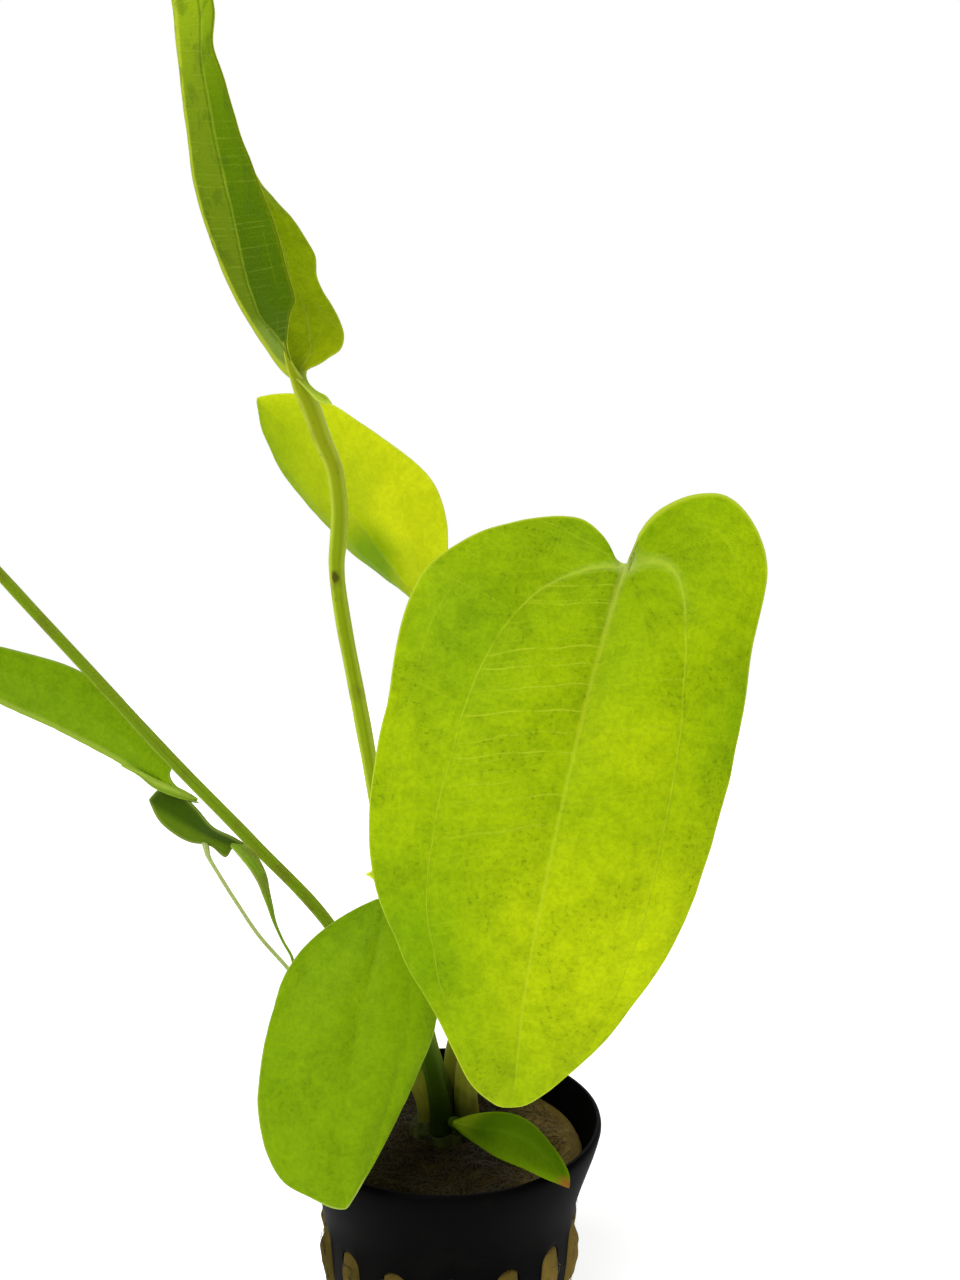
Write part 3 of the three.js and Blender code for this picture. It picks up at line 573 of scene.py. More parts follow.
    # ground colour: deep green at the base, fresh yellow-green to the tip, on one side and in some patches;
    # on the upper leaf the fresher far half is painted light coming through it
    start = look["start"] - 0.2
    fresh = addNode(tree, remap, {**smooth, "From Max": 0.35, "To Min": start, "To Max": start + look["tip"]},
                    {"Value": s})
    for source, factor in ((across, look["side"]), (noises["patch"], 0.4)):
        fresh = addNode(tree, calc, {**productSum, 1: factor}, {0: source, 2: fresh})
    for px, py, radius, amount in look["patches"]:
        away = addNode(tree, "VectorMath", {"operation": "DISTANCE", 1: (px, py, 0)}, {0: layer["flat"]})
        near = addNode(tree, remap, {**smooth, "From Min": radius, "From Max": 0.0},
                       {"Value": away.outputs["Value"]})
        fresh = addNode(tree, calc, {**productSum, 1: amount}, {0: near, 2: fresh})
    clamped = addNode(tree, calc, {"operation": "ADD", 1: 0.0, "use_clamp": True}, {0: fresh})
    colour = addNode(tree, blend, {"data_type": "RGBA", 6: linearColour(look["deep"]),
                                   7: linearColour(look["fresh"])}, {0: clamped}).outputs[2]

    # the cells between the smallest veins, and the net that they leave
    cells = {"voronoi_dimensions": "2D", "Scale": 1 / size["cell"]}
    cell = addNode(tree, "TexVoronoi", cells, {"Vector": layer["flat"]})
    cellTone = addNode(tree, "SeparateColor", None, {0: cell.outputs["Color"]})
    gap = addNode(tree, "TexVoronoi", {**cells, "feature": "DISTANCE_TO_EDGE"}, {"Vector": layer["flat"]})
    net = addNode(tree, remap, {**smooth, "From Min": 0.16, "From Max": 0.0}, {"Value": gap})
    fromBase = addNode(tree, "VectorMath", {"operation": "LENGTH"}, {0: layer["flat"]}).outputs["Value"]

    # mottle, speckle and darker flecks in drifts, broad shading, then veins, margin, rim and pale bloom
    mottled = look["mottled"] * (1.8 if under else 1.0)
    veinShow = look["veinShow"]
    drift = (noises["drift"], 0.45, 0.62)
    rimShade, rimShare = look["underRim" if under else "rim"]
    washes = [
        ("MULTIPLY", tint["mottle"], 0.3 * mottled, (noises["mottle"], 0.42, 0.68)),
        ("MULTIPLY", tint["speckle"], 0.28 * mottled, (noises["speckle"], 0.4, 0.66)),
        ("MULTIPLY", tint["drift"], 0.3 * mottled, drift),
        ("MULTIPLY", tint["fleck"], look["flecks"], drift, (noises["spot"], 0.6, 0.76)),
        ("MULTIPLY", tint["cell"], 0.14, (cellTone,)),
    ]
    # bands of tone; on some leaves a band is painted shade or painted light, as their looks say
    for field, start, full, shade, share in look["bands"] + (look["underTonesAndShade"] if under else []):
        washes.append(("MIX", shade, share, (fields[field], start, full)))
    # lines along a vein; on the upper leaf they paint the shade and light in the groove beside the first side
    # vein
    for field, place, width, shade, share in look["underGrooveShading"] if under else []:
        offset = addNode(tree, calc, {"operation": "SUBTRACT", 1: place}, {0: fields[field]})
        away = addNode(tree, calc, {"operation": "ABSOLUTE"}, {0: offset})
        washes.append(("MIX", shade, share, (away, width, 0.0)))
    if under:
        washes.append(("MIX", tint["blotch"], look["blotched"], (noises["blotch"], 0.5, 0.66)))
    washes += [
        ("MIX", look["vein"], 0.07 * veinShow, (net,)),
        ("MIX", look["vein"], look["crossVeins"], (crossVeins,)),
        ("MIX", look["vein"], 0.2 * veinShow, (secondLine,), (noises["patch"], 0.4, 0.6)),
        ("MIX", look["vein"], 0.5 * veinShow, (firstLine,), (noises["gaps"], 0.34, 0.56, 0.3, 1.0)),
        ("MIX", look["vein"], 0.5 * veinShow, (midrib,)),
        ("MIX", look["fresh"], 0.2 if under else 0.7, (toMargin, size["margin"], 0.1)),
        ("MIX", rimShade, rimShare, (toMargin, size["rim"], 0.1)),
        ("MIX", tint["halo"], look["halo"], (offsets[0], 0.9, 0.1), (fromBase, size["halo"], 2)),
        ("MIX", tint["halo"], look["halo"], (offsets[1], 0.6, 0.1), (fromBase, size["halo"], 2)),
        ("MIX", tint["bloom"], look["bloom"], (fromBase, size["bloom"], 0.2)),
    ]
    if brownTip:  # dried tip, as the small leaf has
        driedTipEdge = addNode(tree, calc, {**productSum, 1: 0.12}, {0: noises["patch"], 2: s})
        washes.append(("MIX", tint["driedTip"], 1.0, (driedTipEdge, 0.96, 1.03)))
    colour = layWashes(tree, colour, washes)
    if under:
        colour = addNode(tree, blend, {"data_type": "RGBA", 0: look["underPale"],
                                       7: linearColour(tint["underPale"])}, {6: colour}).outputs[2]

    # relief: fine veins stand up a little, with the grain of the cells below them
    relief = addNode(tree, calc, {**product, 1: veinShow}, {0: firstLine})
    for source, factor in ((crossVeins, 0.8), (net, 0.25), (noises["mottle"], 0.9), (noises["grain"], 0.3)):
        relief = addNode(tree, calc, {**productSum, 1: factor}, {0: source, 2: relief})
    bump = addNode(tree, "Bump", {"Strength": 0.5, "Distance": 0.16 * mm}, {"Height": relief})
    gloss = addNode(tree, remap, {"To Min": 0.45, "To Max": 0.62}, {"Value": noises["mottle"]})
    tissue = addNode(tree, "BsdfPrincipled", {"IOR": 1.45, "Specular IOR Level": look["sheen"]},
                     {"Base Color": colour, "Roughness": gloss, "Normal": bump})
    through = addNode(tree, blend, {"data_type": "RGBA", "blend_type": "MULTIPLY", 0: 0.5,
                                    6: linearColour(look["glow"])}, {7: colour}).outputs[2]
    lit = addNode(tree, "BsdfTranslucent", None, {"Color": through, "Normal": bump})
    mixed = addNode(tree, "MixShader", {0: 0.42}, {1: tissue, 2: lit})
    addNode(tree, "OutputMaterial", None, {0: mixed})
    return material


leafMaterials = {}
for kind, look in leafLooks.items():
    leafMaterials[kind] = [
        leafMaterial(f"{kind}LeafCuticle", look, brownTip=kind == "small"),
        leafMaterial(f"{kind}LeafUnderside", look, under=True, brownTip=kind == "small"),
    ]
print("leaf tissue ready:", len(leafMaterials), "looks")

bladeKinds = {
    "front_leaf": ("frontLeafBlade", "front", "leaf"),
    "low_left_leaf": ("lowLeftLeafBlade", "low", "leaf"),
    "upper_leaf": ("upperLeafBlade", "upper", "leaf"),
    "back_leaf": ("backLeafBlade", "back", "pale_leaf"),
    "left_leaf": ("leftLeafBlade", "left", "leaf"),
    "far_left_leaf": ("farLeftLeafBlade", "left", "leaf"),
    "small_leaf": ("smallLeafBlade", "small", "leaf"),
}
added = {  # small pieces that are part of a blade: shape, look, rows, half the columns
    "upper_leaf": ("earLobe", earLobe, "ear", 50, 10),
    "left_leaf": ("curledLobe", curledLobe, "curledShaded", 60, 14),
    "front_leaf": ("marginScale", marginScale, "back", 16, 5),
}
for node, (pieceName, kind, slotName) in bladeKinds.items():
    rows, half = (70, 18) if node == "small_leaf" else (170, 40)
    piece = bladePiece(pieceName, blades[node], leafMaterials[kind], rows, half)
    if node in added:
        lobeName, shape, look, rows, half = added[node]
        lobe = bladePiece(lobeName, shape, leafMaterials[look], rows, half)
        piece = joinPieces(pieceName, [piece, lobe])
    dress(piece, node)
print("leaf blades built")


# Leaf stalks. Each runs from the crown to its blade and on under the blade as the midrib's thick start.

stalks = {
    "front_leaf_stalk": {
        "radii": [[0, 2.5], [0.12, 1.9], [0.8, 1.3], [1, 0.95]], "blade": "front_leaf", "look": "ripe",
        "path": [[3.2, 4.6, 45.4], [2.8, 4.6, 50], [3, 4.8, 56], [4.8, 5, 64], [11.1, 4, 91.2],
                 [19.9, -3, 121.8], [25.7, -14, 139.6], [27.1, -25, 145.2], [26.5, -32.6, 146.2]],
    },
    "upper_leaf_stalk": {
        "radii": [[0, 2.4], [0.1, 1.8], [0.35, 1.5], [0.72, 1.35], [0.755, 1.33], [0.8, 1.5], [0.855, 1.5],
                  [0.89, 1.4], [0.94, 1.6], [0.97, 1.65], [1, 1.4]],
        "blade": "upper_leaf", "look": "green",
        "run": ([[-24.5, -20.7, 179], [-25, -21.6, 180.2], [-25.2, -22.9, 181.1], [-25.2, -24.7, 181.9],
                 [-25, -26.6, 182.6]], [0.95, 0.65, 0.45, 0.3, 0.15]),
        "path": [[-1.2, 4.6, 45.4], [-1.4, 4.6, 50], [-3.9, 4, 59.4], [-10.3, 0.5, 90.3],
                 [-13.9, -3, 111.9], [-16.1, -5.5, 125.6], [-18.4, -8.4, 139.7], [-19.2, -9.8, 147],
                 [-19.2, -10.5, 150.1], [-18.8, -11.2, 153.2], [-18.4, -12.3, 157.8], [-18.5, -13, 160.8],
                 [-19.1, -14, 165.3], [-20.8, -15.3, 169.6], [-22.7, -17.5, 175.2], [-23.7, -19.3, 177.3]],
    },
    "low_left_leaf_stalk": {
        "radii": [[0, 2.3], [0.2, 1.7], [1, 1.0]], "blade": "low_left_leaf", "look": "dark",
        "path": [[-1.6, 0.6, 45.4], [-1.8, 0.5, 50], [-3.6, -2, 60.2], [-7.1, -8, 75.9], [-9.2, -14, 89],
                 [-10, -18, 93.6]],
    },
    "back_leaf_stalk": {
        "radii": [[0, 2.3], [0.15, 1.7], [1, 1.15]], "blade": "back_leaf", "look": "pale",
        "reach": 0.12,
        "path": [[1.1, 8.6, 45.4], [0.6, 8.6, 50], [0.6, 8.8, 57], [3.4, 10, 68], [5.5, 13, 92],
                 [3.5, 17, 118], [-1.5, 20.2, 134], [-4.2, 21, 141.2]],
    },
    "far_left_leaf_stalk": {
        "radii": [[0, 2.4], [0.1, 1.7], [0.25, 1.12], [0.6, 1.08], [1, 0.9]], "blade": "far_left_leaf",
        "look": "long",
        "path": [[-3.8, 4.4, 45.4], [-4.4, 4.2, 50], [-6.6, 3.9, 55], [-9.8, 3.3, 60.4], [-22, 0, 84],
                 [-36, -2.5, 100.1], [-49.5, -4.5, 114.8], [-62.1, -6, 129.1], [-74.5, -7.5, 143.2],
                 [-88.3, -9, 159.1], [-91.7, -9.4, 163]],
    },
    "small_leaf_stalk": {
        "radii": [[0, 1.5], [0.5, 1.0], [1, 0.7]], "blade": "small_leaf", "look": "young",
        "path": [[1.1, 0.6, 45.6], [1.1, 0.55, 47.6], [0.8, -0.4, 48.3], [0.2, -1.5, 48.7]],
    },
}

tornStalk = {
    "lower": {"look": "long", "radii": [[0, 2.3], [0.3, 1.6], [1, 1.1]],
              "path": [[-3.5, 8.6, 45.4], [-3.8, 8.7, 49.5], [-12, 9, 57], [-22.4, 5, 67], [-28.9, 0, 75]]},
    "thin": {"look": "torn", "radii": [[0, 0.5], [0.08, 0.36], [0.85, 0.36], [0.93, 0.55], [1, 0.7]],
             "path": [[-28.3, 0.1, 74.2], [-29.8, 0, 76.2], [-35, 0, 82.1], [-38.8, 0, 87.7],
                      [-42.2, 0.4, 92.8], [-44.7, 1.4, 96.4], [-45.3, 2.4, 97.6], [-45.9, 3.2, 98.9]]},
    "thick": {"look": "split", "radii": [[0, 0.45], [0.12, 0.27], [0.25, 0.25], [0.35, 0.28], [0.43, 0.4],
                                         [0.53, 0.6], [0.62, 0.8], [0.72, 1.15], [0.86, 1.4],
                                         [0.93, 1.2], [1, 0.9]],
              "path": [[-28.5, 0.1, 74.4], [-28.9, 0, 78], [-30.4, 0, 80.7], [-31.6, -0.3, 83.5],
                       [-32.2, -0.5, 85.25], [-32.8, -0.7, 87.7], [-33.5, -0.8, 90.1], [-34.3, -0.8, 92.8],
                       [-36.2, -0.8, 96.2], [-37.8, -0.3, 97.7], [-39.7, 0.6, 98.9]]},
    "rolled": {"look": "rolled", "radii": [[0, 0.15], [0.2, 0.4], [0.45, 0.85], [0.65, 1.0], [0.82, 0.85],
                                           [0.93, 0.55], [1, 0.22]],
               "path": [[-60.2, 0.2, 113.2], [-56.6, -0.2, 111.7], [-53.85, -0.4, 110],
                        [-51.1, -0.5, 108.9], [-48.4, -0.4, 107.8], [-46.2, -0.2, 107]]},
}

stalkForm = {"sides": 28, "stepLength": 1.0, "ribs": 9, "ribDepth": 0.035, "wobble": 0.05, "flatten": 0.92,
             "sunk": 0.5}  # how deep the midrib's run lies in the blade


def tubePiece(name, path, radii, material, seed):
    form = stalkForm
    length = evenly(path, [0])[1]
    rings = max(8, int(length / form["stepLength"]))
    t = np.linspace(0, 1, rings + 1)
    centre = evenly(path, t)[0]
    tangent = unit(np.gradient(centre, axis=0))
    radius = np.interp(t, *np.array(radii).T)
    side = unit(np.cross(tangent[0], [0.3, 0.9, 0.2]))
    angles = np.linspace(0, 2 * np.pi, form["sides"], endpoint=False)
    points = []
    for i in range(rings + 1):
        side = unit(side - tangent[i] * np.dot(side, tangent[i]))
        other = np.cross(tangent[i], side)
        lump = 1 + form["wobble"] * noise.noise(Vector(centre[i] / 7) + Vector((seed, 0, 0)))
        for angle in angles:
            swell = 1 + form["ribDepth"] * math.cos(form["ribs"] * angle)
            across = math.cos(angle) * side + math.sin(angle) * form["flatten"] * other
            points.append(centre[i] + across * radius[i] * swell * lump)
    sides = form["sides"]
    faces, corners = [], []
    for i in range(rings):
        faces += bandFaces(i * sides, (i + 1) * sides, sides)
        low, high = t[i] * length, t[i + 1] * length
        for k in range(sides):
            corners += [(k / sides, low), ((k + 1) / sides, low), ((k + 1) / sides, high), (k / sides, high)]
    for end, ring in ((0, 0), (1, rings)):
        points.append(centre[ring] + tangent[ring] * (0.35 * radius[ring] * (1 if end else -1)))
        hub = len(points) - 1
        for k in range(sides):
            n = (k + 1) % sides
            pair = (ring * sides + k, ring * sides + n)
            faces.append((pair[1], pair[0], hub) if end == 0 else (pair[0], pair[1], hub))
            corners += [(k / sides, end * length)] * 3
    return makePiece(name, points, faces, [material], {"stalk": corners})


# Petiole tissue: smooth ribbed epidermis over watery pith, green with two pale lengthwise ribs and fine
# strands, browner near the crown and darkened at the crown with painted shade. It reads as a satin, slightly
# see-through cord with paler sides; the ribs are turned to these sides, partly real ribs and partly a painted
# glow of light through the cord's edges.

stalkLooks = {
    "green": {"main": "889e0c", "rib": "bccc40", "strand": "94aa18", "base": "2c4208", "top": "98a014",
              "fleck": "6a5a24"},
    "pale": {"main": "a0b80c", "rib": "c4d428", "strand": "b4c820", "base": "a09c3c", "fleck": "a0b020"},
    "long": {"main": "708a10", "rib": "869e20", "strand": "7a9418", "base": "a4a434", "baseTop": 62,
             "fleck": "6a5a24"},
    "dark": {"main": "4c6c0c", "rib": "6c8c20", "strand": "5c7c18", "base": "30460a", "fleck": "4a4418"},
    "ripe": {"main": "7c8c1c", "rib": "98a044", "strand": "8c9830", "base": "bcbc44", "fleck": "5a5020"},
    "torn": {"main": "a0b068", "rib": "c0c890", "strand": "b0bc80", "base": "5c7424", "fleck": "98a060"},
    "split": {"main": "6c8e18", "rib": "98b044", "strand": "84a02c", "base": "5c7424", "fleck": "7a6a3c"},
    "rolled": {"main": "78981c", "rib": "a0b840", "strand": "92b02c", "base": "5c7424", "fleck": "7a6a3c"},
    "young": {"main": "5c7c0c", "rib": "6c8c1c", "strand": "648414", "base": "5c7c10", "fleck": "5a6418"},
}
stalkScale = {  # mm, and paintedGlowTurn in radians
    "strandCount": 12, "paintedGlowTurn": 0.32, "fleck": 0.9, "blotch": 4.5, "topFrom": 150, "topTo": 166,
    "baseTop": 72, "baseEnd": 50, "paintedShadeTop": 55, "paintedShadeEnd": 47,
}
brownSpot = {"centre": [-19.4, -11.2, 147.1], "radius": 1.65, "core": 1.0, "squeeze": (1, 1, 0.7),
             "ragged": 1.1, "colour": "4e4410"}
paintedShadeAtCrown = "161c06"  # painted shade: what every stalk darkens to at the crown, down in the pot


def stalkMaterial(name, look):
    material, tree = newMaterial(name)
    size, calc, vector, noisy = stalkScale, "Math", "VectorMath", "TexNoise"
    uv = addNode(tree, "UVMap", {"uv_map": "stalk"})
    place = addNode(tree, "TexCoord").outputs["Object"]
    stretched = addNode(tree, "Mapping", {"Scale": (size["strandCount"], 0.06, 1)}, {"Vector": uv})
    strands = addNode(tree, noisy, {"noise_dimensions": "2D", "Scale": 1.0, "Detail": 3.0},
                      {"Vector": stretched})
    turn = addNode(tree, "SeparateXYZ", None, {0: uv})
    angle = addNode(tree, calc, {**productSum, 1: 2 * math.pi, 2: -size["paintedGlowTurn"]}, {0: turn})
    wave = addNode(tree, calc, {"operation": "COSINE"}, {0: angle})
    fromRib = addNode(tree, calc, {"operation": "ABSOLUTE"}, {0: wave})
    height = addNode(tree, "SeparateXYZ", None, {0: place}).outputs[2]
    flecks, blotches = (addNode(tree, noisy, {"Scale": 1 / (size[key] * mm), "Detail": 2.0},
                                {"Vector": place}) for key in ("fleck", "blotch"))
    centre = tuple(c * mm for c in brownSpot["centre"])
    offset = addNode(tree, vector, {"operation": "SUBTRACT", 1: centre}, {0: place})
    squeezed = addNode(tree, vector, {"operation": "MULTIPLY", 1: brownSpot["squeeze"]}, {0: offset})
    away = addNode(tree, vector, {"operation": "LENGTH"}, {0: squeezed}).outputs["Value"]
    ragged = addNode(tree, calc, {**productSum, 1: brownSpot["ragged"] * mm}, {0: flecks, 2: away})

    body = addNode(tree, "RGB").outputs[0]
    body.default_value = linearColour(look["main"])
    body = layWashes(tree, body, [
        ("MIX", look["strand"], 0.4, (strands, 0.42, 0.66)),
        ("MIX", look.get("top", look["main"]), 0.6, (height, size["topFrom"] * mm, size["topTo"] * mm)),
        # partly painted light: the pale ribs lie on the sides seen from the front, as a glow of light through
        # the edges
        ("MIX", look["rib"], 0.9, (fromRib, 0.3, 0.92)),
        ("MIX", look["base"], 1.0, (height, look.get("baseTop", size["baseTop"]) * mm, size["baseEnd"] * mm)),
        # painted shade: darker towards the crown, where little light reaches into the pot
        ("MIX", paintedShadeAtCrown, 0.75, (height, size["paintedShadeTop"] * mm, size["paintedShadeEnd"] * mm)),
        ("MIX", look["fleck"], 0.4, (flecks, 0.66, 0.76)),
        ("MIX", look["fleck"], 0.3, (blotches, 0.54, 0.72)),
        ("MIX", brownSpot["colour"], 0.9, (ragged, brownSpot["radius"] * mm, brownSpot["core"] * mm)),
    ])
    relief = addNode(tree, calc, {**productSum, 1: 0.3}, {0: flecks, 2: strands})
    bump = addNode(tree, "Bump", {"Strength": 0.4, "Distance": 0.15 * mm}, {"Height": relief})
    skin = addNode(tree, "BsdfPrincipled", {
        "IOR": 1.45, "Specular IOR Level": 0.05, "Roughness": 0.5, "Subsurface Weight": 0.4,
        "Subsurface Radius": (1.0, 1.0, 0.25), "Subsurface Scale": 0.9 * mm},
        {"Base Color": body, "Normal": bump})
    lit = addNode(tree, "BsdfTranslucent", None, {"Color": body})
    mixed = addNode(tree, "MixShader", {0: 0.2}, {1: skin, 2: lit})
    addNode(tree, "OutputMaterial", None, {0: mixed})
    return material


stalkMaterials = {kind: stalkMaterial(f"{kind}PetioleSkin", look) for kind, look in stalkLooks.items()}


def midribRun(bladeName, radius, reach, steps=7):  # points and radii along the underside of the midrib
    s, under, normal = ribUnder[bladeName]
    places = np.linspace(0.03, reach, steps)
    surface, outward = (np.stack([np.interp(places, s, values[:, k]) for k in range(3)], axis=-1)
                        for values in (under, normal))
    radii = np.linspace(radius, 0.25, steps)
    return surface - unit(outward) * (radii - stalkForm["sunk"])[:, None], radii


for number, (node, stalk) in enumerate(stalks.items()):
    if "run" in stalk:
        run, runRadii = stalk["run"]
    else:
        blade = bladeKinds[stalk["blade"]][0]
        run, runRadii = midribRun(blade, stalk["radii"][-1][1], stalk.get("reach", 0.35))
    path = list(stalk["path"]) + [list(p) for p in run]
    total = evenly(path, [0])[1]
    reached = evenly(stalk["path"], [0])[1] / total
    radii = [[share * reached, radius] for share, radius in stalk["radii"]]
    radii += [[reached + (1 - reached) * (k + 1) / len(run), r] for k, r in enumerate(runRadii)]
    name = node.replace("_", " ").title().replace(" ", "")
    piece = tubePiece(name[0].lower() + name[1:] + "Tube", path, radii, stalkMaterials[stalk["look"]], number)
    dress(piece, node)

strands = []
for number, (kind, strand) in enumerate(tornStalk.items(), 9):
    strands.append(tubePiece(f"torn{kind.title()}", strand["path"], strand["radii"],
                             stalkMaterials[strand["look"]], number))
dress(joinPieces("leftLeafStalkTorn", strands), "left_leaf_stalk")
print("stalks built")


# Net pot: black polypropylene, injection moulded. It has a soft satin surface with a faint moulded
# grain, rounded slot edges and a little dried residue in soft patches.

potForm = {
    "height": 50, "rimRadius": 27.5, "collarRadius": 22.9, "footRadius": 18.2, "flareStart": 36.5,
    "wall": 1.1, "floor": 1.6, "sides": 180, "slotCount": 15, "slotWidth": 4.5, "slotTurn": 2.3,
    "slotRows": [(20.5, 34.2), (4.6, 17.6)], "floorSlots": 6, "floorReach": (8.5, 15), "bevel": 0.22,
}
potLook = {"black": "040404", "dust": "100f0c", "grainSize": 0.25, "hazeSize": 9}  # sizes in mm


def turnedPiece(name, profile, sides, material):
    points, faces = [], []
    ringStart = []
    for r, z in profile:
        ringStart.append(len(points))
        if r == 0:
            points.append((0, 0, z))
        else:
            angles = np.linspace(0, 2 * math.pi, sides, endpoint=False)
            points += [(r * math.cos(a), r * math.sin(a), z) for a in angles]
    for i in range(len(profile) - 1):
        a, b = ringStart[i], ringStart[i + 1]
        if profile[i][0] == 0:
            faces += [(a, b + (k + 1) % sides, b + k) for k in range(sides)]
        elif profile[i + 1][0] == 0:
            faces += [(a + k, a + (k + 1) % sides, b) for k in range(sides)]
        else:
            faces += bandFaces(a, b, sides)
    return makePiece(name, points, faces, [material])


def slotCutter(centre, angle, inner, outer, width, height, upright=True):
    outline = []
    radius = width / 2
    for end in (1, -1):
        for a in np.linspace(0, math.pi, 9):
            outline.append((end * radius * math.cos(a), end * (height / 2 - radius + radius * math.sin(a))))
    points = []
    for depth in (inner, outer):
        for across, up in outline:
            place = (depth, across, centre + up) if upright else (centre + up, across, depth)
            points.append((place[0] * math.cos(angle) - place[1] * math.sin(angle),
                           place[0] * math.sin(angle) + place[1] * math.cos(angle), place[2]))
    n = len(outline)
    faces = [tuple(range(n)), tuple(range(2 * n - 1, n - 1, -1))]
    faces += [(k, k + n, (k + 1) % n + n, (k + 1) % n) for k in range(n)]
    return points, faces


def potPlastic():
    material, tree = newMaterial("mouldedPolypropylene")
    look = potLook
    place = addNode(tree, "TexCoord").outputs["Object"]
    grain = addNode(tree, "TexNoise", {"Scale": 1 / (look["grainSize"] * mm), "Detail": 2.0},
                    {"Vector": place})
    haze = addNode(tree, "TexNoise", {
        "Scale": 1 / (look["hazeSize"] * mm), "Detail": 5.0, "Roughness": 0.6}, {"Vector": place})
    dust = addNode(tree, "MapRange", {**smooth, "From Min": 0.5, "From Max": 0.75, "To Max": 0.35},
                   {"Value": haze})
    colour = addNode(tree, "Mix", {"data_type": "RGBA", 6: linearColour(look["black"]),
                                             7: linearColour(look["dust"])}, {0: dust}).outputs[2]
    rough = addNode(tree, "MapRange", {"To Min": 0.5, "To Max": 0.66}, {"Value": haze})
    bump = addNode(tree, "Bump", {"Strength": 0.12, "Distance": 0.05 * mm}, {"Height": grain})
    plastic = addNode(tree, "BsdfPrincipled", {"IOR": 1.49, "Specular IOR Level": 0.016},
                      {"Base Color": colour, "Roughness": rough, "Normal": bump})
    addNode(tree, "OutputMaterial", None, {0: plastic})
    return material


def netPot():
    form = potForm
    collar, rim, foot, high, wall, flare, floorTop = (form[key] for key in (
        "collarRadius", "rimRadius", "footRadius", "height", "wall", "flareStart", "floor"))
    inner = collar - wall
    outside = [(foot - 0.9, 0), (foot - 0.25, 0.22), (foot, 0.8), (foot + 0.25, 2), (19.4, 9), (20.6, 17),
               (20.95, 18.2), (21.25, 18.6), (21.25, 19.6), (21.1, 20), (22.1, 27), (collar - 0.3, flare - 4),
               (collar + 0.05, flare - 1.2), (collar + 0.6, flare + 1), (collar + 1.5, flare + 3.6),
               (rim - 2, high - 7), (rim - 1.1, high - 4.7), (rim - 0.35, high - 2.4),
               (rim - 0.02, high - 1.2), (rim, high - 0.7), (rim - 0.12, high - 0.25), (rim - 0.4, high)]
    inside = [(rim - 0.8, high), (rim - 1.05, high - 0.3), (rim - 1.45, high - 2.4), (rim - 2.2, high - 4.7),
              (rim - 3.1, high - 6.7), (inner + 1.5, flare + 3.2), (inner + 0.6, flare + 1),
              (inner + 0.05, flare - 1.4), (inner - 0.3, flare - 5), (foot - wall + 0.2, floorTop + 1.5),
              (foot - wall - 0.5, floorTop)]
    profile = [(0, 0)] + outside + inside + [(0, floorTop)]
    pot = turnedPiece("netPotMoulding", profile, form["sides"], potPlastic())
    points, faces = [], []
    jobs = []  # centre, angle, inner and outer reach, width and height of each slot
    width = form["slotWidth"]
    for k in range(form["slotCount"]):
        angle = math.radians(form["slotTurn"] - 90 + k * 360 / form["slotCount"])
        jobs += [((top + bottom) / 2, angle, 15, 30, width, top - bottom) for bottom, top in form["slotRows"]]
    near, far = form["floorReach"]
    for k in range(form["floorSlots"]):
        angle = k * 2 * math.pi / form["floorSlots"]
        jobs.append(((near + far) / 2, angle, -3, 3.2, width, far - near, False))
    for job in jobs:
        more, ring = slotCutter(*job)
        faces += [tuple(index + len(points) for index in face) for face in ring]
        points += more
    cutter = makePiece("slotCutters", points, faces, [])
    cutMesh = bmesh.new()
    cutMesh.from_mesh(cutter.data)
    bmesh.ops.recalc_face_normals(cutMesh, faces=cutMesh.faces)
    cutMesh.to_mesh(cutter.data)
    cutMesh.free()
    cut = pot.modifiers.new("slots", "BOOLEAN")
    cut.operation, cut.solver, cut.object = "DIFFERENCE", "EXACT", cutter
    edge = pot.modifiers.new("edges", "BEVEL")
    edge.width, edge.segments = form["bevel"] * mm, 2
    edge.limit_method, edge.angle_limit = "ANGLE", math.radians(48)
    bpy.context.view_layer.update()
    finished = bpy.data.meshes.new_from_object(pot.evaluated_get(bpy.context.evaluated_depsgraph_get()))
    pot.modifiers.clear()
    pot.data = finished
    bpy.data.objects.remove(cutter)
    finished.shade_smooth()
    finished.set_sharp_from_angle(angle=math.radians(40))
    return pot


dress(netPot(), "net_pot")
print("net pot built")


# Rock wool: spun basalt fibre block, brown from peat and algae; its very dark browns are partly painted shade
# inside the pot, and a lighter patch on its right side is a painted pool of light. It is dull and fibrous,
# with loose strands on top and small bulges pressed out through the slots.

woolForm = {
    "top": 44.7, "edge": 23.5, "around": 300, "along": 150, "pillow": 1.8, "lump": 0.9, "crumb": 0.4,
    "lumps": [(19, -2, 1.5, 7), (12, 15, 0.9, 8), (-11, -12, 1.0, 8), (-16, 6, 0.8, 7), (4, -16, -1.0, 7),
              (-3, 18, -0.7, 6)],
    "strandCount": 2600, "strandLength": (2.5, 7.5), "strandRadius": 0.055,
}


woolLook = {  # colours, and sizes in mm
    # the dark shades are partly painted shade inside the pot; the lighter brown from 8 to 18 mm across is a
    # painted pool of light on the right side
    "shades": [(0.3, "0e0b03"), (0.5, "1e1808"), (0.72, "362d0e")], "fibre": "54461a", "inSlots": "60501f",
    "paintedLight": "7c6830", "paintedLightFrom": 8, "paintedLightTo": 18, "algae": "1e2206", "clumpSize": 5, "warpSize": 2, "warp": 4,
    "fibreSize": 0.5, "algaeSize": 11,
}


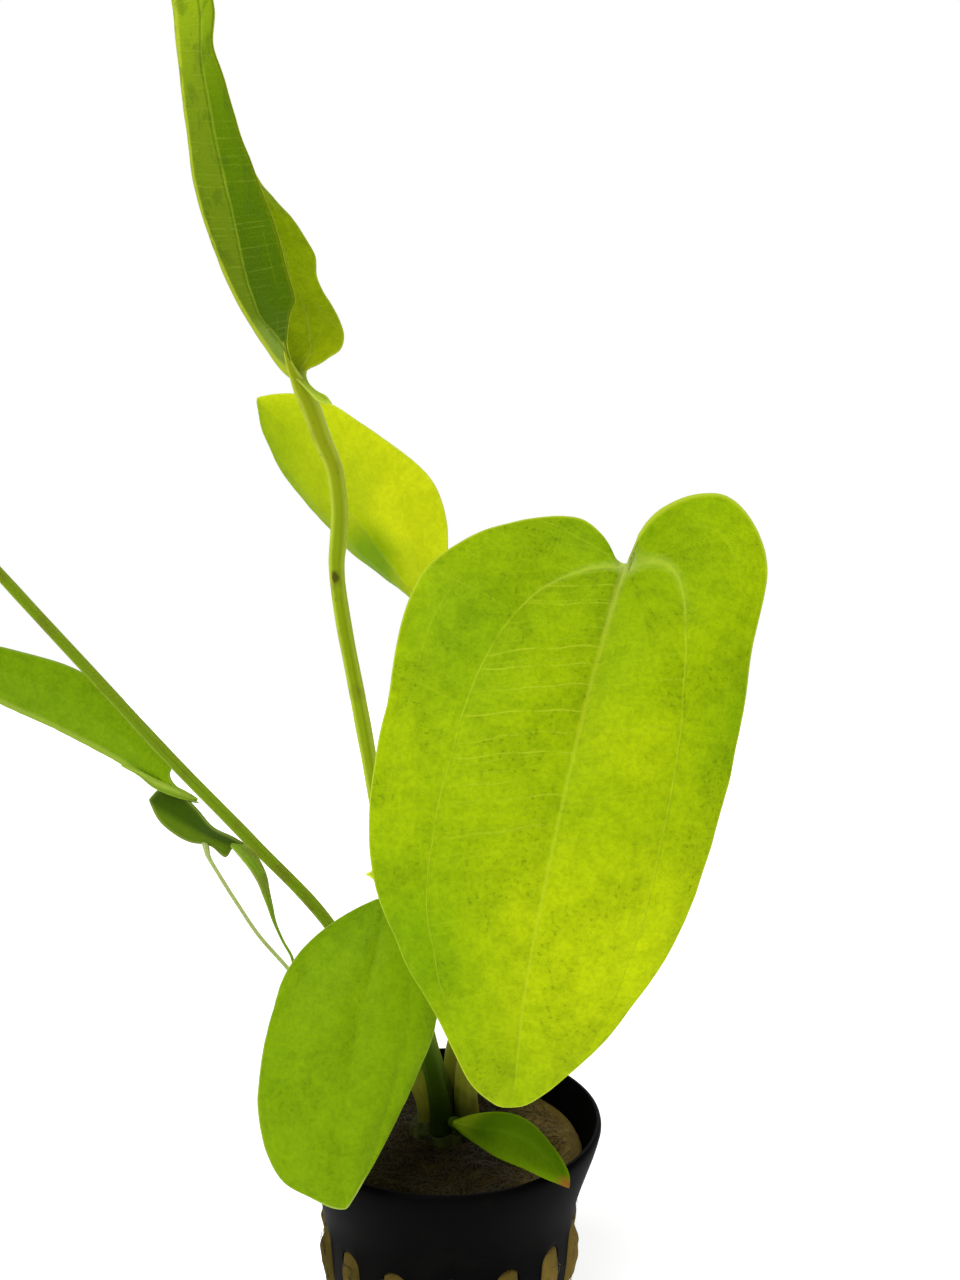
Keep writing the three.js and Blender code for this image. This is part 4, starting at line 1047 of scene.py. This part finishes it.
def woolMaterial():
    material, tree = newMaterial("peatStainedShadedRockWool")
    look, noisy = woolLook, "TexNoise"
    place = addNode(tree, "TexCoord").outputs["Object"]
    clump = addNode(tree, noisy, {"Scale": 1 / (look["clumpSize"] * mm), "Detail": 6.0, "Roughness": 0.62},
                    {"Vector": place})
    swirl = addNode(tree, noisy, {"Scale": 1 / (look["warpSize"] * mm)}, {"Vector": place}).outputs["Color"]
    warped = addNode(tree, "VectorMath", {**productSum, 1: [look["warp"] * mm] * 3},
                     {0: swirl, 2: place})
    fibres = addNode(tree, noisy, {"Scale": 1 / (look["fibreSize"] * mm), "Detail": 5.0, "Roughness": 0.7},
                     {"Vector": warped})
    algae = addNode(tree, noisy, {"Scale": 1 / (look["algaeSize"] * mm), "Detail": 3.0}, {"Vector": place})
    axes = addNode(tree, "SeparateXYZ", None, {0: place}).outputs
    ramp = addNode(tree, "ValToRGB", None, {"Fac": clump})
    ramp.color_ramp.elements.new(0.5)
    for stop, (position, shade) in zip(ramp.color_ramp.elements, look["shades"]):
        stop.position, stop.color = position, linearColour(shade)
    colour = layWashes(tree, ramp.outputs[0], [
        ("MIX", look["fibre"], 0.5, (fibres, 0.42, 0.68)),
        ("MIX", look["inSlots"], 0.75, (axes[2], 39 * mm, 36 * mm)),
        # painted light: lighter towards the right side, where light falls into the pot
        ("MIX", look["paintedLight"], 0.62, (axes[0], look["paintedLightFrom"] * mm, look["paintedLightTo"] * mm)),
        ("MIX", look["algae"], 0.45, (algae, 0.5, 0.7)),
    ])
    relief = addNode(tree, "Math", {**productSum, 1: 0.5}, {0: fibres, 2: clump})
    bump = addNode(tree, "Bump", {"Strength": 0.9, "Distance": 0.5 * mm}, {"Height": relief})
    wool = addNode(tree, "BsdfPrincipled", {
        "IOR": 1.5, "Specular IOR Level": 0.08, "Roughness": 0.95}, {"Base Color": colour, "Normal": bump})
    addNode(tree, "OutputMaterial", None, {0: wool})
    return material


def woolTop(x, y):
    form = woolForm
    z = form["top"]
    for lx, ly, height, radius in form["lumps"]:
        z += height * math.exp(-((x - lx) ** 2 + (y - ly) ** 2) / radius ** 2)
    return z + form["lump"] * noise.noise(Vector((x / 6, y / 6, 3.1))) - 0.2


def woolProfile():  # radius and height from the middle of the underside, round the side and over the top
    inner = potForm["collarRadius"] - potForm["wall"]
    low = potForm["floor"] + 0.3
    return np.array([(0, low), (15.6, low), (16.6, 3.4), (18.4, 14), (inner - 0.8, 32.5),
                     (inner - 0.3, potForm["flareStart"]), (23.3, 41.4), (24.1, 43), (24.1, 44),
                     (woolForm["edge"], woolForm["top"]), (0, woolForm["top"])])


def rockWool(material):
    form, pot = woolForm, potForm
    profile = woolProfile()
    run = np.concatenate([[0], np.cumsum(np.linalg.norm(np.diff(profile, axis=0), axis=1))])
    places = np.linspace(0, run[-1], form["along"])
    radius = np.interp(places, run, profile[:, 0])
    height = np.interp(places, run, profile[:, 1])
    angles = np.linspace(0, 2 * np.pi, form["around"], endpoint=False)
    points = [(0, 0, height[0])]
    pitch = 2 * np.pi / pot["slotCount"]
    start = math.radians(pot["slotTurn"] - 90)
    for r, z in zip(radius[1:-1], height[1:-1]):
        for a in angles:
            away = abs((a - start + pitch / 2) % pitch - pitch / 2) * r
            fill = 1 - smoothStep(1.7, pot["slotWidth"] / 2 + 0.2, away)
            fill *= max(smoothStep(b - 0.2, b + 1, z) * (1 - smoothStep(t - 1, t + 0.2, z))
                        for b, t in pot["slotRows"])
            dome = math.cos(min(1, away / (pot["slotWidth"] / 2)) * math.pi / 2)
            dome *= max(smoothStep(b, b + 4, z) * (1 - smoothStep(t - 4, t, z)) for b, t in pot["slotRows"])
            place = Vector((r * math.cos(a), r * math.sin(a), z))
            rough = noise.noise(place / 5) * form["lump"] * 0.5 + noise.noise(place / 1.7) * form["crumb"]
            onTop = z > form["top"] - 0.01 and r < form["edge"] + 0.1
            out = fill * (pot["wall"] + 0.2) + dome * (form["pillow"] + 0.6 * rough)
            out += 0 if onTop else min(0, rough) * 0.6 * (1 - fill)
            x, y = (r + out) * math.cos(a), (r + out) * math.sin(a)
            if onTop:
                z2 = woolTop(x, y) + noise.noise(Vector((x, y, 0)) / 1.9) * form["crumb"]
                blend = float(smoothStep(form["edge"], form["edge"] - 1.8, np.float64(r)))
                points.append((x, y, z * (1 - blend) + z2 * blend))
            else:
                points.append((x, y, z))
    points.append((0, 0, woolTop(0, 0)))
    around, last = form["around"], len(points) - 1
    faces = [(0, 1 + (k + 1) % around, 1 + k) for k in range(around)]
    for i in range(form["along"] - 3):
        faces += bandFaces(1 + i * around, 1 + (i + 1) * around, around)
    top = last - around
    faces += [(top + k, top + (k + 1) % around, last) for k in range(around)]
    return makePiece("rockWoolBlock", points, faces, [material])


def looseStrands(material):  # joined fibres lying on the top and poking from the slots
    form, pot = woolForm, potForm
    sideRadii, sideHeights = woolProfile()[2:6].T
    points, faces = [], []
    steps, sides = 6, 3
    for _ in range(form["strandCount"]):
        length = random.uniform(*form["strandLength"])
        heading = random.uniform(0, 2 * math.pi)
        turn = random.uniform(-0.5, 0.5)
        if random.random() < 0.72:
            r, a = 21.5 * math.sqrt(random.random()), random.uniform(0, 2 * math.pi)
            x, y = r * math.cos(a), r * math.sin(a)
            path = []
            for k in range(steps):
                z = woolTop(x, y) + 0.12 + 0.5 * random.random() * math.sin(math.pi * k / (steps - 1))
                path.append((x, y, z))
                x += math.cos(heading) * length / steps
                y += math.sin(heading) * length / steps
                heading += turn
            if max(math.hypot(p[0], p[1]) for p in path) > 22.6:
                continue
        else:
            slot = random.randrange(pot["slotCount"])
            low, high = random.choice(pot["slotRows"])
            a = math.radians(pot["slotTurn"] - 90 + slot * 360 / pot["slotCount"])
            across, z = random.uniform(-1.3, 1.3), random.uniform(low + 1.2, high - 1.2)
            length *= 0.5
            path = []
            for k in range(steps):
                r = float(np.interp(z, sideHeights, sideRadii)) + pot["wall"] + form["pillow"] * 0.9
                across = max(-1.7, min(1.7, across))
                z = max(low + 0.7, min(high - 0.7, z))
                path.append((r * math.cos(a) - across * math.sin(a),
                             r * math.sin(a) + across * math.cos(a), z))
                across += math.cos(heading) * length / steps
                z += math.sin(heading) * length / steps
                heading += turn * 1.6
        path = np.array(path)
        tangent = unit(np.gradient(path, axis=0))
        side = unit(np.cross(tangent, [0.13, 0.31, 0.94]))
        other = np.cross(tangent, side)
        first = len(points)
        radius = form["strandRadius"] * random.uniform(0.7, 1.5)
        for k in range(steps):
            for n in range(sides):
                a = 2 * math.pi * n / sides
                points.append(path[k] + radius * (math.cos(a) * side[k] + math.sin(a) * other[k]))
        for k in range(steps - 1):
            faces += bandFaces(first + k * sides, first + (k + 1) * sides, sides)
        faces.append((first + 2, first + 1, first))
        end = first + (steps - 1) * sides
        faces.append((end, end + 1, end + 2))
    return makePiece("rockWoolStrands", points, faces, [material])


strandLook = {"dark": "161206", "light": "3e3316", "driftSize": 3}  # size in mm


def strandMaterial():
    material, tree = newMaterial("basaltFibre")
    place = addNode(tree, "TexCoord").outputs["Object"]
    drift = addNode(tree, "TexNoise", {"Scale": 1 / (strandLook["driftSize"] * mm), "Detail": 2.0},
                    {"Vector": place})
    blended = addNode(tree, "Mix", {"data_type": "RGBA", 6: linearColour(strandLook["dark"]),
                                              7: linearColour(strandLook["light"])}, {0: drift}).outputs[2]
    across = addNode(tree, "SeparateXYZ", None, {0: place})
    # painted light: the same lighter patch on the right side as the wool
    colour = layWashes(tree, blended, [
        ("MIX", woolLook["paintedLight"], 0.6, (across, woolLook["paintedLightFrom"] * mm, woolLook["paintedLightTo"] * mm))])
    fibre = addNode(tree, "BsdfPrincipled", {
        "IOR": 1.5, "Specular IOR Level": 0.2, "Roughness": 0.75}, {"Base Color": colour})
    addNode(tree, "OutputMaterial", None, {0: fibre})
    return material


dress(rockWool(woolMaterial()), "rock_wool_plug")
fibres = looseStrands(strandMaterial())
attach(fibres, "root")
print("rock wool built")


# Crown: the short stem that the stalks grow from, wrapped in old pale and brown leaf bases.

crownForm = {
    "centre": (-1.2, 4.6), "radius": 6.6, "bottom": 41, "top": 46.6, "scales": 11, "sides": 96, "rings": 30,
}
crownLook = {  # shades, and streaks for each metre across and up
    "shades": [(0.32, "181805"), (0.5, "2a300e"), (0.7, "363a12")], "streaks": (900, 900, 120),
}


def crownMaterial():
    material, tree = newMaterial("oldLeafBase")
    place = addNode(tree, "TexCoord").outputs["Object"]
    stretched = addNode(tree, "Mapping", {"Scale": crownLook["streaks"]}, {"Vector": place})
    streak = addNode(tree, "TexNoise", {"Scale": 1.0, "Detail": 4.0}, {"Vector": stretched})
    ramp = addNode(tree, "ValToRGB", None, {"Fac": streak})
    ramp.color_ramp.elements.new(0.5)
    for stop, (position, shade) in zip(ramp.color_ramp.elements, crownLook["shades"]):
        stop.position, stop.color = position, linearColour(shade)
    bump = addNode(tree, "Bump", {"Strength": 0.6, "Distance": 0.25 * mm}, {"Height": streak})
    skin = addNode(tree, "BsdfPrincipled", {
        "IOR": 1.45, "Specular IOR Level": 0.08, "Roughness": 0.6}, {"Base Color": ramp, "Normal": bump})
    addNode(tree, "OutputMaterial", None, {0: skin})
    return material


def crownPiece(material):
    form = crownForm
    cx, cy = form["centre"]
    points, faces = [(cx, cy, form["bottom"])], []
    for i in range(form["rings"]):
        t = i / (form["rings"] - 1)
        z = form["bottom"] + 0.3 + (form["top"] - form["bottom"]) * t
        shape = form["radius"] * (0.86 + 0.14 * math.sin(math.pi * min(1, t * 1.1)))
        shape *= 1 - 0.55 * max(0, t - 0.8) / 0.2  # drawn in towards the top
        for k in range(form["sides"]):
            a = 2 * math.pi * k / form["sides"]
            ridge = 1 + 0.05 * abs(math.sin(a * form["scales"] / 2 + 2 * t))
            place = Vector((math.cos(a), math.sin(a), t * 2))
            r = shape * ridge * (1 + 0.06 * noise.noise(place * 2.5))
            lift = 0.4 * noise.noise(place * 3 + Vector((5, 0, 0)))
            points.append((cx + r * math.cos(a), cy + r * math.sin(a), z + lift))
    points.append((cx, cy, form["top"] + 0.2))
    sides, last = form["sides"], len(points) - 1
    faces += [(0, 1 + (k + 1) % sides, 1 + k) for k in range(sides)]
    for i in range(form["rings"] - 1):
        faces += bandFaces(1 + i * sides, 1 + (i + 1) * sides, sides)
    faces += [(last - sides + k, last - sides + (k + 1) % sides, last) for k in range(sides)]
    return makePiece("crownBase", points, faces, [material])


dress(crownPiece(crownMaterial()), "crown")
print("crown built")


# Camera, floor and light. The camera stands level with the front leaf and looks straight ahead.

studio = {
    "camera": (5.5, -176, 136.2), "lens": 27.03, "sensor": 36, "floor": 4.0, "worldLight": 0.37,
    "paperDark": "f4f4f4", "paperLight": "f8f8f8", "toothScale": 400.0,
    "key": {"towards": (-0.35, -0.62, 0.7), "strength": 2.5, "angle": 38},
    "back": {"towards": (0.25, 0.75, 0.6), "strength": 1.8, "angle": 45},
}

cameraData = bpy.data.cameras.new("photoCamera")
cameraData.lens = studio["lens"]
cameraData.sensor_width = studio["sensor"]
cameraData.clip_start = 0.005
camera = bpy.data.objects.new("photoCamera", cameraData)
camera.location = Vector(studio["camera"]) * mm
camera.rotation_euler = (math.radians(90), 0, 0)
bpy.context.scene.collection.objects.link(camera)
bpy.context.scene.camera = camera

for name in ("key", "back"):
    lamp = studio[name]
    data = bpy.data.lights.new(name + "Softbox", "SUN")
    data.energy, data.angle = lamp["strength"], math.radians(lamp["angle"])
    light = bpy.data.objects.new(name + "Softbox", data)
    light.location = Vector(lamp["towards"])
    light.rotation_euler = (-Vector(lamp["towards"])).to_track_quat("-Z", "Y").to_euler()
    bpy.context.scene.collection.objects.link(light)

half = studio["floor"] / 2 / mm
paper, tree = newMaterial("whitePaperFloor")
tooth = addNode(tree, "TexNoise", {"Scale": studio["toothScale"]})
white = addNode(tree, "Mix", {"data_type": "RGBA", 6: linearColour(studio["paperDark"]),
                                        7: linearColour(studio["paperLight"])}, {0: tooth}).outputs[2]
sheet = addNode(tree, "BsdfPrincipled", {
    "Roughness": 0.9, "Specular IOR Level": 0.1, "Emission Color": (1, 1, 1, 1), "Emission Strength": 0.3},
    {"Base Color": white})
addNode(tree, "OutputMaterial", None, {0: sheet})
floor = makePiece("paperFloor", [(-half, -half, 0), (half, -half, 0), (half, half, 0), (-half, half, 0)],
                  [(0, 1, 2, 3)], [paper])

world = bpy.data.worlds.new("whiteStudio")
world.use_nodes = True
backdrop = world.node_tree.nodes["Background"]
backdrop.inputs[0].default_value = (1, 1, 1, 1)
seen = addNode(world.node_tree, "LightPath").outputs["Is Camera Ray"]
shown = addNode(world.node_tree, "MapRange", {"To Min": studio["worldLight"], "To Max": 1.0},
                {"Value": seen}).outputs[0]  # a white backdrop, with less light from it than it shows
world.node_tree.links.new(shown, backdrop.inputs[1])
bpy.context.scene.world = world
bpy.context.scene.view_settings.view_transform = "Standard"
print("camera and light ready")
